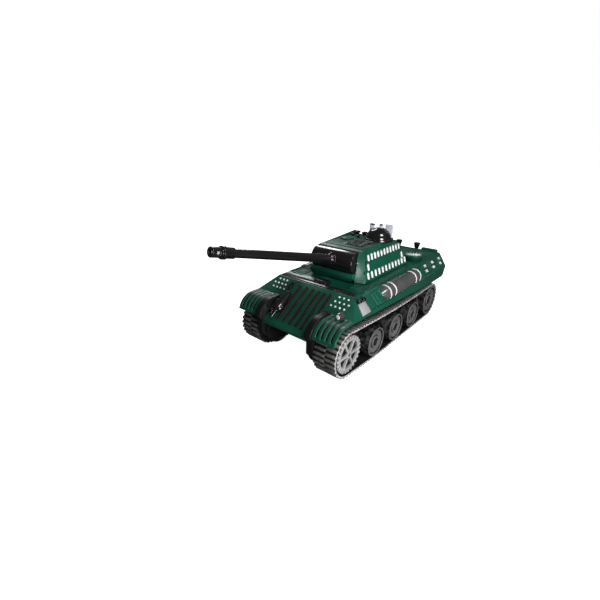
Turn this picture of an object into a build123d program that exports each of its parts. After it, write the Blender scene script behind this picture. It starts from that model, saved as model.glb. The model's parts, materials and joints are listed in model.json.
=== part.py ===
from build123d import *
import os
from math import acos, asin, atan2, cos, degrees, hypot, pi, radians, sin, tan

# Toy radio-control battle tank, in millimetres.
# While it is built, X is forward with 0 midway between the second and third road
# wheels, Y is to the tank's left, and Z is up from the ground.  save() then moves each
# node so that the origin is under the middle of the whole tank, gun included.

# ---- running gear -------------------------------------------------------------------
WHEEL_SPACING = 40.0
WHEEL_XS = (1.5 * WHEEL_SPACING, 0.5 * WHEEL_SPACING, -0.5 * WHEEL_SPACING)
WHEEL_R = 14.4
WHEEL_Z = 17.2
IDLER_X = -65.2
IDLER_R = 17.4
IDLER_Z = 20.2
SPROCKET_X = 106.2
SPROCKET_Z = 24.6
SPROCKET_TIP_R = 17.1               # toothed ring on the outer face
SPROCKET_FLANGE_R = 18.9            # drum flanges that carry the track
SPROCKET_TEETH = 24
LOOP_GAP = 0.4                      # between a wheel and the track's inner face
TRACK_BAND = 1.3
TRACK_CLEAT = 1.1
TRACK_IN = 33.5                     # track's inner and outer edges in Y
TRACK_OUT = 56.0
TRACK_LINKS = 100
TRACK_SAG = 2.4
PIN_R = 1.6
AXLE_R = 1.5
RUN_GAP = 0.05                      # radial clearance of a shaft in its hole

# ---- hull ---------------------------------------------------------------------------
DECK_Z = 66.8
DECK_FRONT = 85.6
DECK_REAR = -106.8
DECK_HALF = 45.0
LEDGE_Z = 54.4
LEDGE_HALF = 56.4
LIP_X = 127.2
LIP_TOP = 38.0
LIP_BOTTOM = 34.9
SKIRT_FRONT_Z = 52.6
SKIRT_REAR_X = -62.0
SKIRT_REAR_Z = 43.0
REAR_LEAN = 0.49                    # how far the rear plate runs forward per mm down
WALL = 2.0
TUB_HALF = 26.4
FLOOR_Z = 11.0
NOSE_X = 96.0
HOUSING_OUT = 33.0
HOUSING_DISC_R = 17.3
FENDER_START = 112.0
LAMP_R = 3.0
FENDER_TIP = (130.4, 41.3)
BORDER_RUNS = ((DECK_REAR + 1, -34.0), (47.0, 70.0))     # in X, clear of the turret's corners
POSTS = ((70.0, 19.0), (70.0, -19.0), (-66.0, 19.0), (-66.0, -19.0))
POST_TOP = 34.0                     # screw posts of the lower hull end here
SCREW_R = 1.25
FAN_X = -59.5
FAN_Y = 31.0
BATTERY_BAY = (-44.0, 16.0, -23.0, 23.0)
CELL_R = 7.1
CELL_Z = FLOOR_Z + WALL + 0.2 + CELL_R
CELL_YS = (-14.8, 0.0, 14.8)

# ---- turret and gun -----------------------------------------------------------------
TURRET_X = 6.2
TURRET_GAP = 0.4
TURRET_TOP = 95.2
RING_R = 24.0
TRUNNION_X = 52.0
TRUNNION_Z = 84.8
MANTLET_R = 10.6
MANTLET_HALF = 23.6
GUN_ELEVATION = 14.0
GUN_LENGTH = 147.1                  # trunnion axis to muzzle face
BRAKE_START = 128.0
BRAKE_R = 3.7
ROOF_PLATE = 1.1                    # height of the raised plate on the turret roof
CUPOLA_X = -8.6
CUPOLA_Y = 11.0
CUPOLA_R = 15.2
CUPOLA_DOME = 10.2                  # height of the dome above its rim
PERISCOPES = ((-7.0, 3.0, 5.2), (-10.0, 11.7, 3.4), (-12.6, 19.9, 8.4))     # x, y, width
PERISCOPE_TOP = 111.6
BAYONET_TABS = (10.0, 125.0, 235.0)
BAYONET_RELEASE = 172.0             # past the turret's travel, where tabs meet notches

# ---- gears --------------------------------------------------------------------------
MODULE = 0.5
PINION_TEETH = 10
COMPOUND_BIG = 30
COMPOUND_SMALL = 10
FINAL_TEETH = 36
RING_TEETH = 92
TURRET_PINION_TEETH = 12
GEAR_BACKLASH = 0.10
SHAFT_RISE = 10.0                   # degrees the compound shaft lies above the axle

TURRET_BASE_Z = DECK_Z + TURRET_GAP
GLACIS_SLOPE = (DECK_Z - LIP_TOP) / (LIP_X - DECK_FRONT)
GLACIS_ANGLE = degrees(atan2(DECK_Z - LIP_TOP, LIP_X - DECK_FRONT))
GLACIS_FOOT = LIP_X - (LEDGE_Z - LIP_TOP) / GLACIS_SLOPE
SIDE_ANGLE = degrees(atan2(DECK_Z - LEDGE_Z, LEDGE_HALF - DECK_HALF))
TUB_REAR_TOP = DECK_REAR + (DECK_Z - SKIRT_REAR_Z) * REAR_LEAN
TUB_REAR_BOTTOM = DECK_REAR + (DECK_Z - FLOOR_Z) * REAR_LEAN
MUZZLE_X = TRUNNION_X + GUN_LENGTH * cos(radians(GUN_ELEVATION))
STACK_X = -111.6
STACK_R = 4.2
REAR_END = STACK_X - STACK_R
FRONT_END = MUZZLE_X + BRAKE_R * sin(radians(GUN_ELEVATION))
SHIFT_X = -(FRONT_END + REAR_END) / 2


# ---- helpers ------------------------------------------------------------------------
def save(name, *shapes):
    """Write one node: its solids, moved so that the origin is under the tank's middle."""
    solids = []
    for shape in shapes:
        solids += list((Pos(SHIFT_X, 0, 0) * shape).solids())
    export_step(solids[0] if len(solids) == 1 else Compound(solids), f"parts/{name}.step")


def mirrored(shape):
    """The same piece on the tank's right side."""
    return mirror(shape, about=Plane.XZ)


def closed_face(*lines):
    """A face inside lines that meet end to end."""
    return make_face([edge for line in lines for edge in line.edges()])


def side_plate(face_or_points, y_low, y_high):
    """A plate drawn in the X-Z plane, reaching from y_low to y_high."""
    if isinstance(face_or_points, list):
        face_or_points = make_face(Polyline(*face_or_points, close=True))
    drawing = Plane(origin=(0, y_high, 0), x_dir=(1, 0, 0), z_dir=(0, -1, 0))
    return extrude(drawing * face_or_points, amount=y_high - y_low)


def block(x_low, x_high, y_low, y_high, z_low, z_high):
    """A box between two corners."""
    middle = Pos((x_low + x_high) / 2, (y_low + y_high) / 2, (z_low + z_high) / 2)
    return middle * Box(x_high - x_low, y_high - y_low, z_high - z_low)


def disc_y(x, z, radius, y_low, y_high):
    """A cylinder along Y."""
    return Pos(x, (y_low + y_high) / 2, z) * Rot(X=90) * Cylinder(radius, y_high - y_low)


def disc_z(x, y, radius, z_low, z_high):
    """A cylinder along Z."""
    return Pos(x, y, (z_low + z_high) / 2) * Cylinder(radius, z_high - z_low)


def turned_y(profile, x, z):
    """A solid of revolution about the Y line through x, z; the profile is (radius, y)."""
    return Pos(x, 0, z) * revolve(make_face(Polyline(*profile, close=True)), Axis.Y)


def turned_z(profile, x, y):
    """A solid of revolution about the Z line through x, y; the profile is (radius, z)."""
    face = make_face(Polyline(*[(r, 0, z) for r, z in profile], close=True))
    return Pos(x, y, 0) * revolve(face, Axis.Z)


def rounded_bar(length, width, height):
    """A bar with round ends along X, standing on the X-Y plane."""
    return extrude(SlotOverall(length, width), amount=height)


def on_glacis(run, y, lift=0.0):
    """A frame on the glacis, run mm up from its lip, with X up the slope and Z outwards."""
    slope = radians(GLACIS_ANGLE)
    origin = (LIP_X - run * cos(slope), y, LIP_TOP + run * sin(slope))
    outward = (sin(slope), 0, cos(slope))
    start = tuple(o + lift * n for o, n in zip(origin, outward))
    return Plane(origin=start, x_dir=(-cos(slope), 0, sin(slope)), z_dir=outward)


def on_side(x, share, lift=0.0):
    """A frame on the left side panel; share runs from 0 at the ledge to 1 at the deck."""
    slope = radians(SIDE_ANGLE)
    y = LEDGE_HALF + share * (DECK_HALF - LEDGE_HALF)
    z = LEDGE_Z + share * (DECK_Z - LEDGE_Z)
    outward = (0, sin(slope), cos(slope))
    start = (x, y + lift * outward[1], z + lift * outward[2])
    return Plane(origin=start, x_dir=(1, 0, 0), z_dir=outward)


def gear_outline(teeth, backlash=GEAR_BACKLASH):
    """An involute spur gear's outline, 20 degrees pressure angle, one tooth centred on X."""
    pitch_r = MODULE * teeth / 2
    base_r = pitch_r * cos(radians(20))
    tip_r = pitch_r + 0.94 * MODULE
    root_r = pitch_r - 1.25 * MODULE
    half_pitch = pi / (2 * teeth) - backlash / (2 * pitch_r) + tan(radians(20)) - radians(20)
    flank = []
    for step in range(5):
        r = max(root_r, base_r) + step * (tip_r - max(root_r, base_r)) / 4
        roll = acos(min(1.0, base_r / r))
        flank.append((r, half_pitch - (tan(roll) - roll)))
    side = [(root_r, min(flank[0][1] + 0.02, 0.9 * pi / teeth))] + flank
    points = []
    for tooth in range(teeth):
        centre = 2 * pi * tooth / teeth
        polar = [(r, centre - a) for r, a in side] + [(r, centre + a) for r, a in reversed(side)]
        points += [(r * cos(a), r * sin(a)) for r, a in polar]
    return make_face(Polyline(*points, close=True))


def gear_y(teeth, x, z, y_low, y_high, turn, bore=0.0):
    """A spur gear about Y, turned so that one tooth points at the angle turn in X-Z."""
    gear = side_plate(Rot(Z=turn) * gear_outline(teeth), y_low, y_high)
    gear = Pos(x, 0, z) * gear
    return gear - disc_y(x, z, bore, y_low - 1, y_high + 1) if bore else gear


# ---- track --------------------------------------------------------------------------
def tangent_points(centre_a, radius_a, centre_b, radius_b):
    """Where the common lower tangent of two circles touches each, a being the rear one."""
    dx = centre_b[0] - centre_a[0]
    dz = centre_b[1] - centre_a[1]
    turn = atan2(dz, dx) + asin((radius_a - radius_b) / hypot(dx, dz)) - pi / 2
    return [(c[0] + r * cos(turn), c[1] + r * sin(turn))
            for c, r in ((centre_a, radius_a), (centre_b, radius_b))]


def track_wire(grow):
    """The closed track line, grow mm outside the band's inner face, seen along Y."""
    front = (SPROCKET_X, SPROCKET_Z)
    rear = (IDLER_X, IDLER_Z)
    front_r = SPROCKET_FLANGE_R + LOOP_GAP + grow
    rear_r = IDLER_R + LOOP_GAP + grow
    wheel_r = WHEEL_R + LOOP_GAP + grow
    rise_start, rise_end = tangent_points((WHEEL_XS[0], WHEEL_Z), wheel_r, front, front_r)
    floor_front = (WHEEL_XS[0], WHEEL_Z - wheel_r)
    floor_rear = (IDLER_X, IDLER_Z - rear_r)
    low = radians((degrees(atan2(rise_end[1] - SPROCKET_Z, rise_end[0] - SPROCKET_X)) + 90) / 2)
    mid_wheel = radians((degrees(atan2(rise_start[1] - WHEEL_Z, rise_start[0] - WHEEL_XS[0])) - 90) / 2)
    top_front = (SPROCKET_X, SPROCKET_Z + front_r)
    top_rear = (IDLER_X, IDLER_Z + rear_r)
    sag = ((SPROCKET_X + IDLER_X) / 2, (top_front[1] + top_rear[1]) / 2 - TRACK_SAG)
    bend = (WHEEL_XS[0] + wheel_r * cos(mid_wheel), WHEEL_Z + wheel_r * sin(mid_wheel))
    nose = (SPROCKET_X + front_r * cos(low), SPROCKET_Z + front_r * sin(low))
    tail = (IDLER_X - rear_r, IDLER_Z)
    return Wire([
        Line(floor_rear, floor_front),
        ThreePointArc(floor_front, bend, rise_start),
        Line(rise_start, rise_end),
        ThreePointArc(rise_end, nose, top_front),
        ThreePointArc(top_front, sag, top_rear),
        ThreePointArc(top_rear, tail, floor_rear),
    ])


def track_column(y_low, y_high, phase):
    """Half the track's width: a band whose outer face carries a row of cleats."""
    low = track_wire(TRACK_BAND)
    high = track_wire(TRACK_BAND + TRACK_CLEAT)
    points = []
    for link in range(TRACK_LINKS):
        for wire, share in ((low, 0.04), (high, 0.12), (high, 0.58), (low, 0.66)):
            spot = wire.position_at(((link + phase + share) / TRACK_LINKS) % 1.0)
            points.append((spot.X, spot.Y))
    outline = make_face(Polyline(*points, close=True))
    return side_plate(outline - make_face(track_wire(0.0)), y_low, y_high)


def make_track():
    middle = (TRACK_IN + TRACK_OUT) / 2
    return track_column(TRACK_IN, middle, 0.0) + track_column(middle, TRACK_OUT, 0.5)


# ---- wheels -------------------------------------------------------------------------
def road_wheel(radius, x, z):
    """A dished wheel: wide rim, recessed face, raised hub, bored for its pin."""
    bore = PIN_R + RUN_GAP
    rim = radius - 1.9
    profile = [
        (bore, 35.2), (radius, 35.2), (radius, 55.6), (radius - 0.5, 56.1), (rim, 56.1),
        (rim - 0.7, 53.6), (rim - 1.6, 53.6), (rim - 2.1, 54.6), (6.2, 53.9), (5.8, 54.9),
        (3.4, 54.9), (3.4, 54.1), (bore, 54.1),
    ]
    wheel = turned_y(profile, x, z)
    inner = [(rim - 0.4, 34), (rim - 0.4, 51.5), (4.2, 51.5), (4.2, 34)]
    wheel -= turned_y(inner, x, z)
    for turn in range(5):
        angle = radians(72 * turn)
        wheel -= disc_y(x + 4.6 * cos(angle), z + 4.6 * sin(angle), 0.45, 54.5, 56)
    return wheel


def sprocket():
    """Toothed outer ring on six spokes, fixed to a drum with a flange at each end."""
    x, z = SPROCKET_X, SPROCKET_Z
    points = []
    for tooth in range(SPROCKET_TEETH):
        for share, r in ((-0.34, 15.4), (-0.16, SPROCKET_TIP_R), (0.16, SPROCKET_TIP_R), (0.34, 15.4)):
            angle = 2 * pi * (tooth + share) / SPROCKET_TEETH
            points.append((r * cos(angle), r * sin(angle)))
    ring = make_face(Polyline(*points, close=True)) - Circle(12.0)
    spokes = Sketch() + [Rot(Z=60 * turn) * Pos(6.6, 0) * Rectangle(12.4, 2.5) for turn in range(6)]
    spokes -= Circle(AXLE_R)
    face = side_plate(Pos(x, z) * (ring + spokes + (Circle(4.4) - Circle(AXLE_R))), 53.4, 56.0)
    flange_r = SPROCKET_FLANGE_R
    drum = turned_y([(AXLE_R, 34.0), (flange_r, 34.0), (flange_r, 36.4), (9.0, 37.4), (9.0, 50.4),
                     (flange_r, 51.6), (flange_r, 53.4), (AXLE_R, 53.4)], x, z)
    return face + drum


def wheel_pin(x, z):
    """A fixed pin from the hull side with a screw-like head in the wheel's hub."""
    pin = disc_y(x, z, PIN_R, TUB_HALF, 54.3) + disc_y(x, z, 2.9, 54.3, 55.3)
    return pin - block(x - 2, x + 2, 54.9, 56, z - 0.3, z + 0.3)


# ---- hull ---------------------------------------------------------------------------
def fender_arc(inset):
    """The front fender's rounded line, inset mm inside its outer surface."""
    tip_x, tip_z = FENDER_TIP
    return ThreePointArc((FENDER_START, LEDGE_Z - inset), (124.9 - 0.7 * inset, 50.2 - 0.72 * inset),
                         (tip_x - inset, tip_z))


def fender_band(outer, inner, start):
    """The strip between two fender lines, carried back level to start."""
    a = fender_arc(outer)
    b = fender_arc(inner)
    top = Line((start, LEDGE_Z - outer), a @ 0)
    front = Line(a @ 1, b @ 1)
    under = Line(b @ 0, (start, LEDGE_Z - inner))
    back = Line((start, LEDGE_Z - inner), (start, LEDGE_Z - outer))
    return closed_face(top, a, front, b, under, back)


def hull_outline():
    """The superstructure seen from the side, without the tongue of the glacis."""
    return make_face(Polyline(
        (GLACIS_FOOT, SKIRT_FRONT_Z), (GLACIS_FOOT, LEDGE_Z), (DECK_FRONT, DECK_Z),
        (DECK_REAR, DECK_Z), (TUB_REAR_TOP, SKIRT_REAR_Z), (SKIRT_REAR_X, SKIRT_REAR_Z), close=True))


def hull_section():
    """The superstructure seen from the front: deck, sloped sides, upright ledges."""
    return make_face(Polyline(
        (-LEDGE_HALF, 40), (LEDGE_HALF, 40), (LEDGE_HALF, LEDGE_Z), (DECK_HALF, DECK_Z),
        (-DECK_HALF, DECK_Z), (-LEDGE_HALF, LEDGE_Z), close=True))


def upper_hull_mass(inset):
    """The superstructure's outer form, or its hollow when inset."""
    outline = offset(hull_outline(), -inset, kind=Kind.INTERSECTION) if inset else hull_outline()
    section = offset(hull_section(), -inset, kind=Kind.INTERSECTION) if inset else hull_section()
    across = Plane(origin=(-150, 0, 0), x_dir=(0, 1, 0), z_dir=(1, 0, 0))
    return side_plate(outline, -60, 60) & extrude(across * section, amount=300)


def upper_hull():
    """Deck, side panels, glacis with its tongue, and grooved front fenders."""
    shell = upper_hull_mass(0) - upper_hull_mass(WALL)
    tub_inner = TUB_HALF - WALL
    shell -= block(TUB_REAR_TOP + 3.2, GLACIS_FOOT - 2.5, -tub_inner, tub_inner, 40, 56)
    tongue = side_plate([(LIP_X, LIP_BOTTOM), (LIP_X, LIP_TOP), (GLACIS_FOOT, LEDGE_Z),
                         (GLACIS_FOOT, SKIRT_FRONT_Z), (GLACIS_FOOT + 2.4, LEDGE_Z - 4.1),
                         (LIP_X - WALL, LIP_TOP - 1.0), (LIP_X - WALL, LIP_BOTTOM)],
                        -TUB_HALF, TUB_HALF)
    shell += tongue
    fender = side_plate(fender_band(0, 1.8, GLACIS_FOOT), HOUSING_OUT + 0.2, LEDGE_HALF)
    for groove_y in (37.8, 42.6, 47.4, 52.2):
        groove = side_plate(fender_band(0, 0.9, GLACIS_FOOT + 1.5), groove_y - 0.85, groove_y + 0.85)
        stop = block(120, 140, groove_y - 1, groove_y + 1, 38, FENDER_TIP[1] + 2.4)
        fender -= groove - stop
    shell += fender + mirrored(fender)
    shell -= block(DECK_REAR + 3, 70, DECK_HALF - 2.6, DECK_HALF - 1.6, DECK_Z - 0.5, DECK_Z + 1)
    shell -= block(DECK_REAR + 3, 70, 1.6 - DECK_HALF, 2.6 - DECK_HALF, DECK_Z - 0.5, DECK_Z + 1)
    for x_low, x_high in BORDER_RUNS:
        border = block(x_low, x_high, DECK_HALF - 1.6, DECK_HALF - 0.2, DECK_Z - 0.5, DECK_Z + 0.9)
        shell += border + mirrored(border)
    edge = DECK_HALF - 1.0
    shell += block(DECK_REAR + 0.3, DECK_REAR + 2.4, -edge, edge, DECK_Z - 0.5, DECK_Z + 0.9)
    for hatch_x, hatch_y in ((64.5, 33.5), (64.5, -33.5)):
        hatch = Pos(hatch_x, hatch_y, DECK_Z) * Box(14, 12, 1.4)
        shell += hatch
        for bar in (-3.5, 0.0, 3.5):
            shell -= Pos(hatch_x, hatch_y + bar, DECK_Z + 0.7) * Box(11, 1.2, 0.9)
    for groove_x in (58.0, 63.0, -29.5, -88.0):
        groove = on_side(groove_x, 0.45) * Box(0.7, 12, 0.7)
        shell -= groove
        shell -= mirrored(groove)
    recess = on_side(52.0, 0.62) * Box(4.0, 6.0, 1.2)
    shell -= recess
    shell -= mirrored(recess)
    for slot_x in (-98.0, -89.0, -80.0, -71.0):
        slot = on_side(slot_x, 0.16) * Box(6.0, 1.0, 0.8)
        shell -= slot
        shell -= mirrored(slot)
    for post_x, post_y in POSTS:
        post = disc_z(post_x, post_y, 3.0, POST_TOP, DECK_Z - WALL + 0.5)
        shell += post - disc_z(post_x, post_y, SCREW_R + RUN_GAP, POST_TOP - 1, POST_TOP + 14)
    shell -= disc_z(TURRET_X, 0, RING_R, DECK_Z - 4, DECK_Z + 4)
    for angle in BAYONET_TABS:
        shell -= bayonet_tab(angle + BAYONET_RELEASE, 0.5, DECK_Z - 4, DECK_Z + 1)
    return shell


def bayonet_tab(angle, grow, z_low, z_high):
    """One short tab of the turret's bayonet, or its notch in the deck when grown."""
    tab = block(RING_R - 4, RING_R + 1.8 + grow, -3 - grow, 3 + grow, z_low, z_high)
    return Pos(TURRET_X, 0, 0) * Rot(Z=angle) * tab


def shaft_position():
    """X and Z of the compound gears' shaft, behind the drive axle."""
    reach = MODULE * (FINAL_TEETH + COMPOUND_SMALL) / 2
    rise = radians(SHAFT_RISE)
    return SPROCKET_X - reach * cos(rise), SPROCKET_Z + reach * sin(rise)


SHAFT_X, SHAFT_Z = shaft_position()
MOTOR_X = SHAFT_X - MODULE * (COMPOUND_BIG + PINION_TEETH) / 2
MOTOR_Z = SHAFT_Z


def lower_hull():
    """Open tub: sloped nose with gear cheeks, floor with a battery opening, leaning rear plate."""
    outline = make_face(Polyline(
        (TUB_REAR_TOP, SKIRT_REAR_Z), (SKIRT_REAR_X, SKIRT_REAR_Z), (GLACIS_FOOT, SKIRT_FRONT_Z),
        (GLACIS_FOOT + 2.4, LEDGE_Z - 4.1), (LIP_X - WALL, LIP_TOP - 1.0), (LIP_X - WALL, LIP_BOTTOM),
        (NOSE_X, FLOOR_Z), (TUB_REAR_BOTTOM, FLOOR_Z), close=True))
    hollow = offset(outline, -WALL, kind=Kind.INTERSECTION)
    inner = TUB_HALF - WALL
    tub = side_plate(outline, -TUB_HALF, TUB_HALF) - side_plate(hollow, -inner, inner)
    tub -= block(TUB_REAR_TOP + 3.2, GLACIS_FOOT - 2.5, -inner, inner, FLOOR_Z + 20, 60)
    x_low, x_high, y_low, y_high = BATTERY_BAY
    tub -= block(x_low, x_high, y_low, y_high, FLOOR_Z - 1, FLOOR_Z + WALL + 1)
    for post_x, post_y in POSTS:
        tub += disc_z(post_x, post_y, 3.6, FLOOR_Z, POST_TOP)
        tub -= disc_z(post_x, post_y, 2.5, FLOOR_Z - 1, POST_TOP - 2)
        tub -= disc_z(post_x, post_y, SCREW_R + RUN_GAP, FLOOR_Z, POST_TOP + 1)
    for x in WHEEL_XS + (IDLER_X,):
        z = IDLER_Z if x == IDLER_X else WHEEL_Z
        boss = disc_y(x, z, 4.2, TUB_HALF, 32.8) - disc_y(x, z, PIN_R, TUB_HALF, 33)
        tub += boss + mirrored(boss)
    for x, z, r in ((87.6, 36.0, 2.6), (40.0, 31.0, 2.2)):
        boss = disc_y(x, z, r, TUB_HALF, 31.0)
        tub += boss + mirrored(boss)
    cheek = disc_y(SPROCKET_X, SPROCKET_Z, HOUSING_DISC_R, inner, TUB_HALF)
    tub += cheek + mirrored(cheek)
    for x, z, r in ((SPROCKET_X, SPROCKET_Z, AXLE_R), (SHAFT_X, SHAFT_Z, 1.0)):
        tub -= disc_y(x, z, r + RUN_GAP, -TUB_HALF - 1, TUB_HALF + 1)
    for row in range(-3, 4):
        tub -= block(32, 58, row * 3.4 - 0.7, row * 3.4 + 0.7, FLOOR_Z - 1, FLOOR_Z + WALL + 1)
    tub -= block(-66, -56, -1.9, 1.9, FLOOR_Z - 1, FLOOR_Z + WALL + 1)
    return tub


def gear_housing():
    """Inner fender wall that closes over the final gear and carries the drive axle."""
    lip = 1.2
    arc = fender_arc(-lip)
    start = arc @ 0
    tip = arc @ 1
    back = GLACIS_FOOT + 0.2
    wall = closed_face(arc, Polyline(
        tip, (LIP_X + 0.8, FENDER_TIP[1] - 4), (LIP_X + 0.8, 24.0), (121.5, 17.0), (100.0, 12.0),
        (92.0, 30.0), (92.0, 50.6), (back, 51.0), (back, LEDGE_Z + lip), start))
    body = side_plate(wall, TUB_HALF, HOUSING_OUT)
    body += disc_y(SPROCKET_X, SPROCKET_Z, HOUSING_DISC_R, TUB_HALF, HOUSING_OUT)
    body -= disc_y(SPROCKET_X, SPROCKET_Z, 10.4, TUB_HALF - 1, HOUSING_OUT - 1.2)
    body -= disc_y(SHAFT_X, SHAFT_Z, 3.9, TUB_HALF - 1, HOUSING_OUT - 1.2)
    body -= disc_y(SPROCKET_X, SPROCKET_Z, AXLE_R + RUN_GAP, TUB_HALF - 1, HOUSING_OUT + 1)
    body -= disc_y(SPROCKET_X, SPROCKET_Z, 16.4, HOUSING_OUT - 0.5, HOUSING_OUT + 1) \
        - disc_y(SPROCKET_X, SPROCKET_Z, 12.5, HOUSING_OUT - 0.6, HOUSING_OUT + 1)
    return body


def glacis_bars():
    """Six long bars and a short one with round ends, standing on the glacis."""
    bars = []
    slope_length = hypot(LIP_X - DECK_FRONT, DECK_Z - LIP_TOP)
    for y in (-11.8, -4.4, 3.0, 9.9, 16.2, 22.8):
        frame = on_glacis(0.51 * slope_length, y)
        bars.append(frame * rounded_bar(0.81 * slope_length, 2.3, 1.5))
    bars.append(on_glacis(0.83 * slope_length, -22.5) * rounded_bar(0.19 * slope_length, 2.3, 1.5))
    return bars


def glacis_studs():
    """Eleven small domed studs at each upper corner of the glacis, in staggered rows."""
    studs = []
    stud = extrude(Circle(1.0), amount=0.9)
    stud = chamfer(stud.edges().group_by(Axis.Z)[-1], 0.35)
    for row, (first, count) in enumerate(((31.0, 3), (29.5, 4), (28.0, 4))):
        for column in range(count):
            frame = on_glacis(46.6 - 5.0 * row, first + 4.6 * column)
            one = frame * stud
            studs += [one, mirrored(one)]
    return studs


def headlight():
    """A small lamp pod standing on the left front fender's root."""
    centre = (GLACIS_FOOT + 2.8, 43.6, LEDGE_Z + 2.0)
    pod = Pos(*centre) * Rot(Y=90) * Cylinder(LAMP_R, 5.0)
    pod += Pos(centre[0] - 2.5, centre[1], centre[2]) * Sphere(LAMP_R)
    pod = split(pod, Plane((0, 0, LEDGE_Z + 0.1), z_dir=(0, 0, 1)), keep=Keep.TOP)
    return pod - side_plate([(90, 30), (LIP_X, LIP_TOP), (DECK_FRONT, DECK_Z)], 30, 50)


def bow_gun():
    """Tapered mount on the glacis with a ball, two thin barrels and a stub, by the right fender."""
    frame = on_glacis(26.0, -19.2)
    axis_plane = Plane(frame.origin, x_dir=(0, 1, 0), z_dir=(LIP_X - DECK_FRONT, 0, LIP_TOP - DECK_Z))
    cone = axis_plane * Cone(3.4, 6.0, 17)
    ball = axis_plane * Pos(0, 0, 9.6) * Sphere(5.6)
    barrel = axis_plane * Pos(1.2, 2.4, 15) * Cylinder(1.1, 13)
    second = axis_plane * Pos(-2.6, 2.0, 13.5) * Cylinder(0.9, 10)
    stub = axis_plane * Pos(-5.0, 1.6, 9.0) * Cylinder(2.4, 13)
    gun = cone + ball + barrel + second + stub
    gun -= block(60, 135, -40, -TUB_HALF + 0.2, 30, 80)
    glacis_mass = side_plate([(70, 0), (LIP_X, 0), (LIP_X, LIP_TOP), (DECK_FRONT, DECK_Z),
                              (70, DECK_Z)], -40, 0)
    return gun - glacis_mass


def deck_strip():
    """Dark strip along the deck's front edge with the driver's periscope block on it."""
    strip = block(77.8, 84.4, -42.5, 42.5, DECK_Z, DECK_Z + 0.8)
    strip -= block(79.6, 80.4, -43, 43, DECK_Z + 0.4, DECK_Z + 1)
    hood = side_plate([(70.5, DECK_Z), (81.5, DECK_Z), (81.5, DECK_Z + 1.6), (78.5, DECK_Z + 3.4),
                       (72.5, DECK_Z + 3.4)], -5.0, 9.0)
    slit = block(79.5, 82, -2.6, 6.6, DECK_Z + 1.0, DECK_Z + 1.9)
    return strip + hood - slit


def stowage_tubes():
    """A tube with a conical front cap half let into each side panel, and its bands."""
    y, z, r = 48.2, 58.6, 7.9
    along_x = Pos(0, y, z) * Rot(Y=90)
    solids = []
    outside = upper_hull_mass(0)
    pieces = [along_x * Pos(0, 0, 7.0) * Cylinder(r, 70.0)]
    pieces.append(along_x * Pos(0, 0, 45.5) * Cone(r - 0.2, 3.4, 7.0))
    for band_x in (40.0, 30.0, -15.0, -26.0):
        band = Cylinder(r + 0.25, 1.9) - Cylinder(r, 2.0)
        pieces.append(along_x * Pos(0, 0, band_x) * band)
    for piece in pieces:
        left = piece - outside
        solids += list(left.solids()) + list(mirrored(left).solids())
    return solids


def side_launchers():
    """A pale plate on the left front side panel with two short dark tubes standing on it."""
    solids = []
    frame = on_side(84.0, 0.42)
    plate = frame * extrude(Rectangle(13, 13), amount=1.0)
    plate = plate & block(60, 100, 43.8, 56.2, 54.4, 65.6)
    plate -= upper_hull_mass(0)
    front_cut = on_side(91.0, 0.5) * Rot(Z=-14) * Box(6, 40, 8)
    plate -= front_cut
    solids.append(plate)
    for x in (87.0, 80.0):
        tube = Cylinder(1.9, 3.2) - Pos(0, 0, 1) * Cylinder(1.1, 2.2)
        solids.append(on_side(x, 0.74, 1.0) * Pos(0, 0, 1.6) * tube)
    return solids


def hull_side_studs():
    """Six pairs of upright studs at the rear of each side panel."""
    studs = []
    for row, (share, first) in enumerate(((0.72, -53.5), (0.38, -50.5))):
        for column in range(3):
            for pair in (-1.5, 1.5):
                frame = on_side(first - 20.5 * column + pair, share)
                stud = frame * extrude(SlotOverall(3.6, 1.5, rotation=90), amount=0.8)
                studs += [stud, mirrored(stud)]
    return studs


def fan_housing():
    """Round bowl of a cooling fan standing on the rear deck."""
    z = DECK_Z
    bowl = [(0, z), (9.2, z), (11.9, z + 5.0), (11.9, z + 6.2), (10.0, z + 6.2), (10.0, z + 4.6),
            (0, z + 4.6)]
    return turned_z(bowl, FAN_X, FAN_Y)


def fan_grille():
    """Radial louvres round a hub, set in the fan housing."""
    z = DECK_Z + 4.6
    blades = Cylinder(2.2, 1.5, align=(Align.CENTER, Align.CENTER, Align.MIN))
    ring = Cylinder(9.95, 1.5, align=(Align.CENTER, Align.CENTER, Align.MIN))
    ring -= Cylinder(9.0, 1.5, align=(Align.CENTER, Align.CENTER, Align.MIN))
    for turn in range(14):
        blades += Rot(Z=360 / 14 * turn) * Pos(5.6, 0, 0.75) * Box(7.4, 1.1, 1.5)
    return Pos(FAN_X, FAN_Y, z) * (blades + ring)


def exhaust_stack():
    """Flared pipe rising behind the rear plate, with a foot that meets the plate."""
    y = 12.4
    pipe = turned_z([(0, 52), (2.2, 52), (2.2, 65.5), (STACK_R, 73.6), (3.6, 73.6), (1.7, 67.0),
                     (0, 67.0)], STACK_X, y)
    foot = block(STACK_X, DECK_REAR + 10, y - 2.2, y + 2.2, 52, 57)
    return pipe + (foot - upper_hull_mass(0))


def rear_bin():
    """Stowage bin on the rear plate, standing just above the deck."""
    bin_body = side_plate([(-112.4, 46), (-96.5, 44.5), (DECK_REAR, DECK_Z), (DECK_REAR, 69.4),
                           (-112.4, 69.4)], 20.5, 40.0)
    lid_line = block(-113, -90, 20, 41, 65.2, 65.8) - block(-111.9, -90, 21.0, 39.5, 65, 67)
    return bin_body - upper_hull_mass(0) - lid_line


# ---- pieces inside the hull ---------------------------------------------------------
def battery_door():
    x_low, x_high, y_low, y_high = BATTERY_BAY
    gap = 0.15
    door = block(x_low + gap, x_high - gap, y_low + gap, y_high - gap, FLOOR_Z, FLOOR_Z + WALL)
    for rib in range(9):
        door -= block(x_low + 10 + 5 * rib, x_low + 11.6 + 5 * rib, -16, 16, FLOOR_Z - 1, FLOOR_Z + 0.5)
    return door


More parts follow.
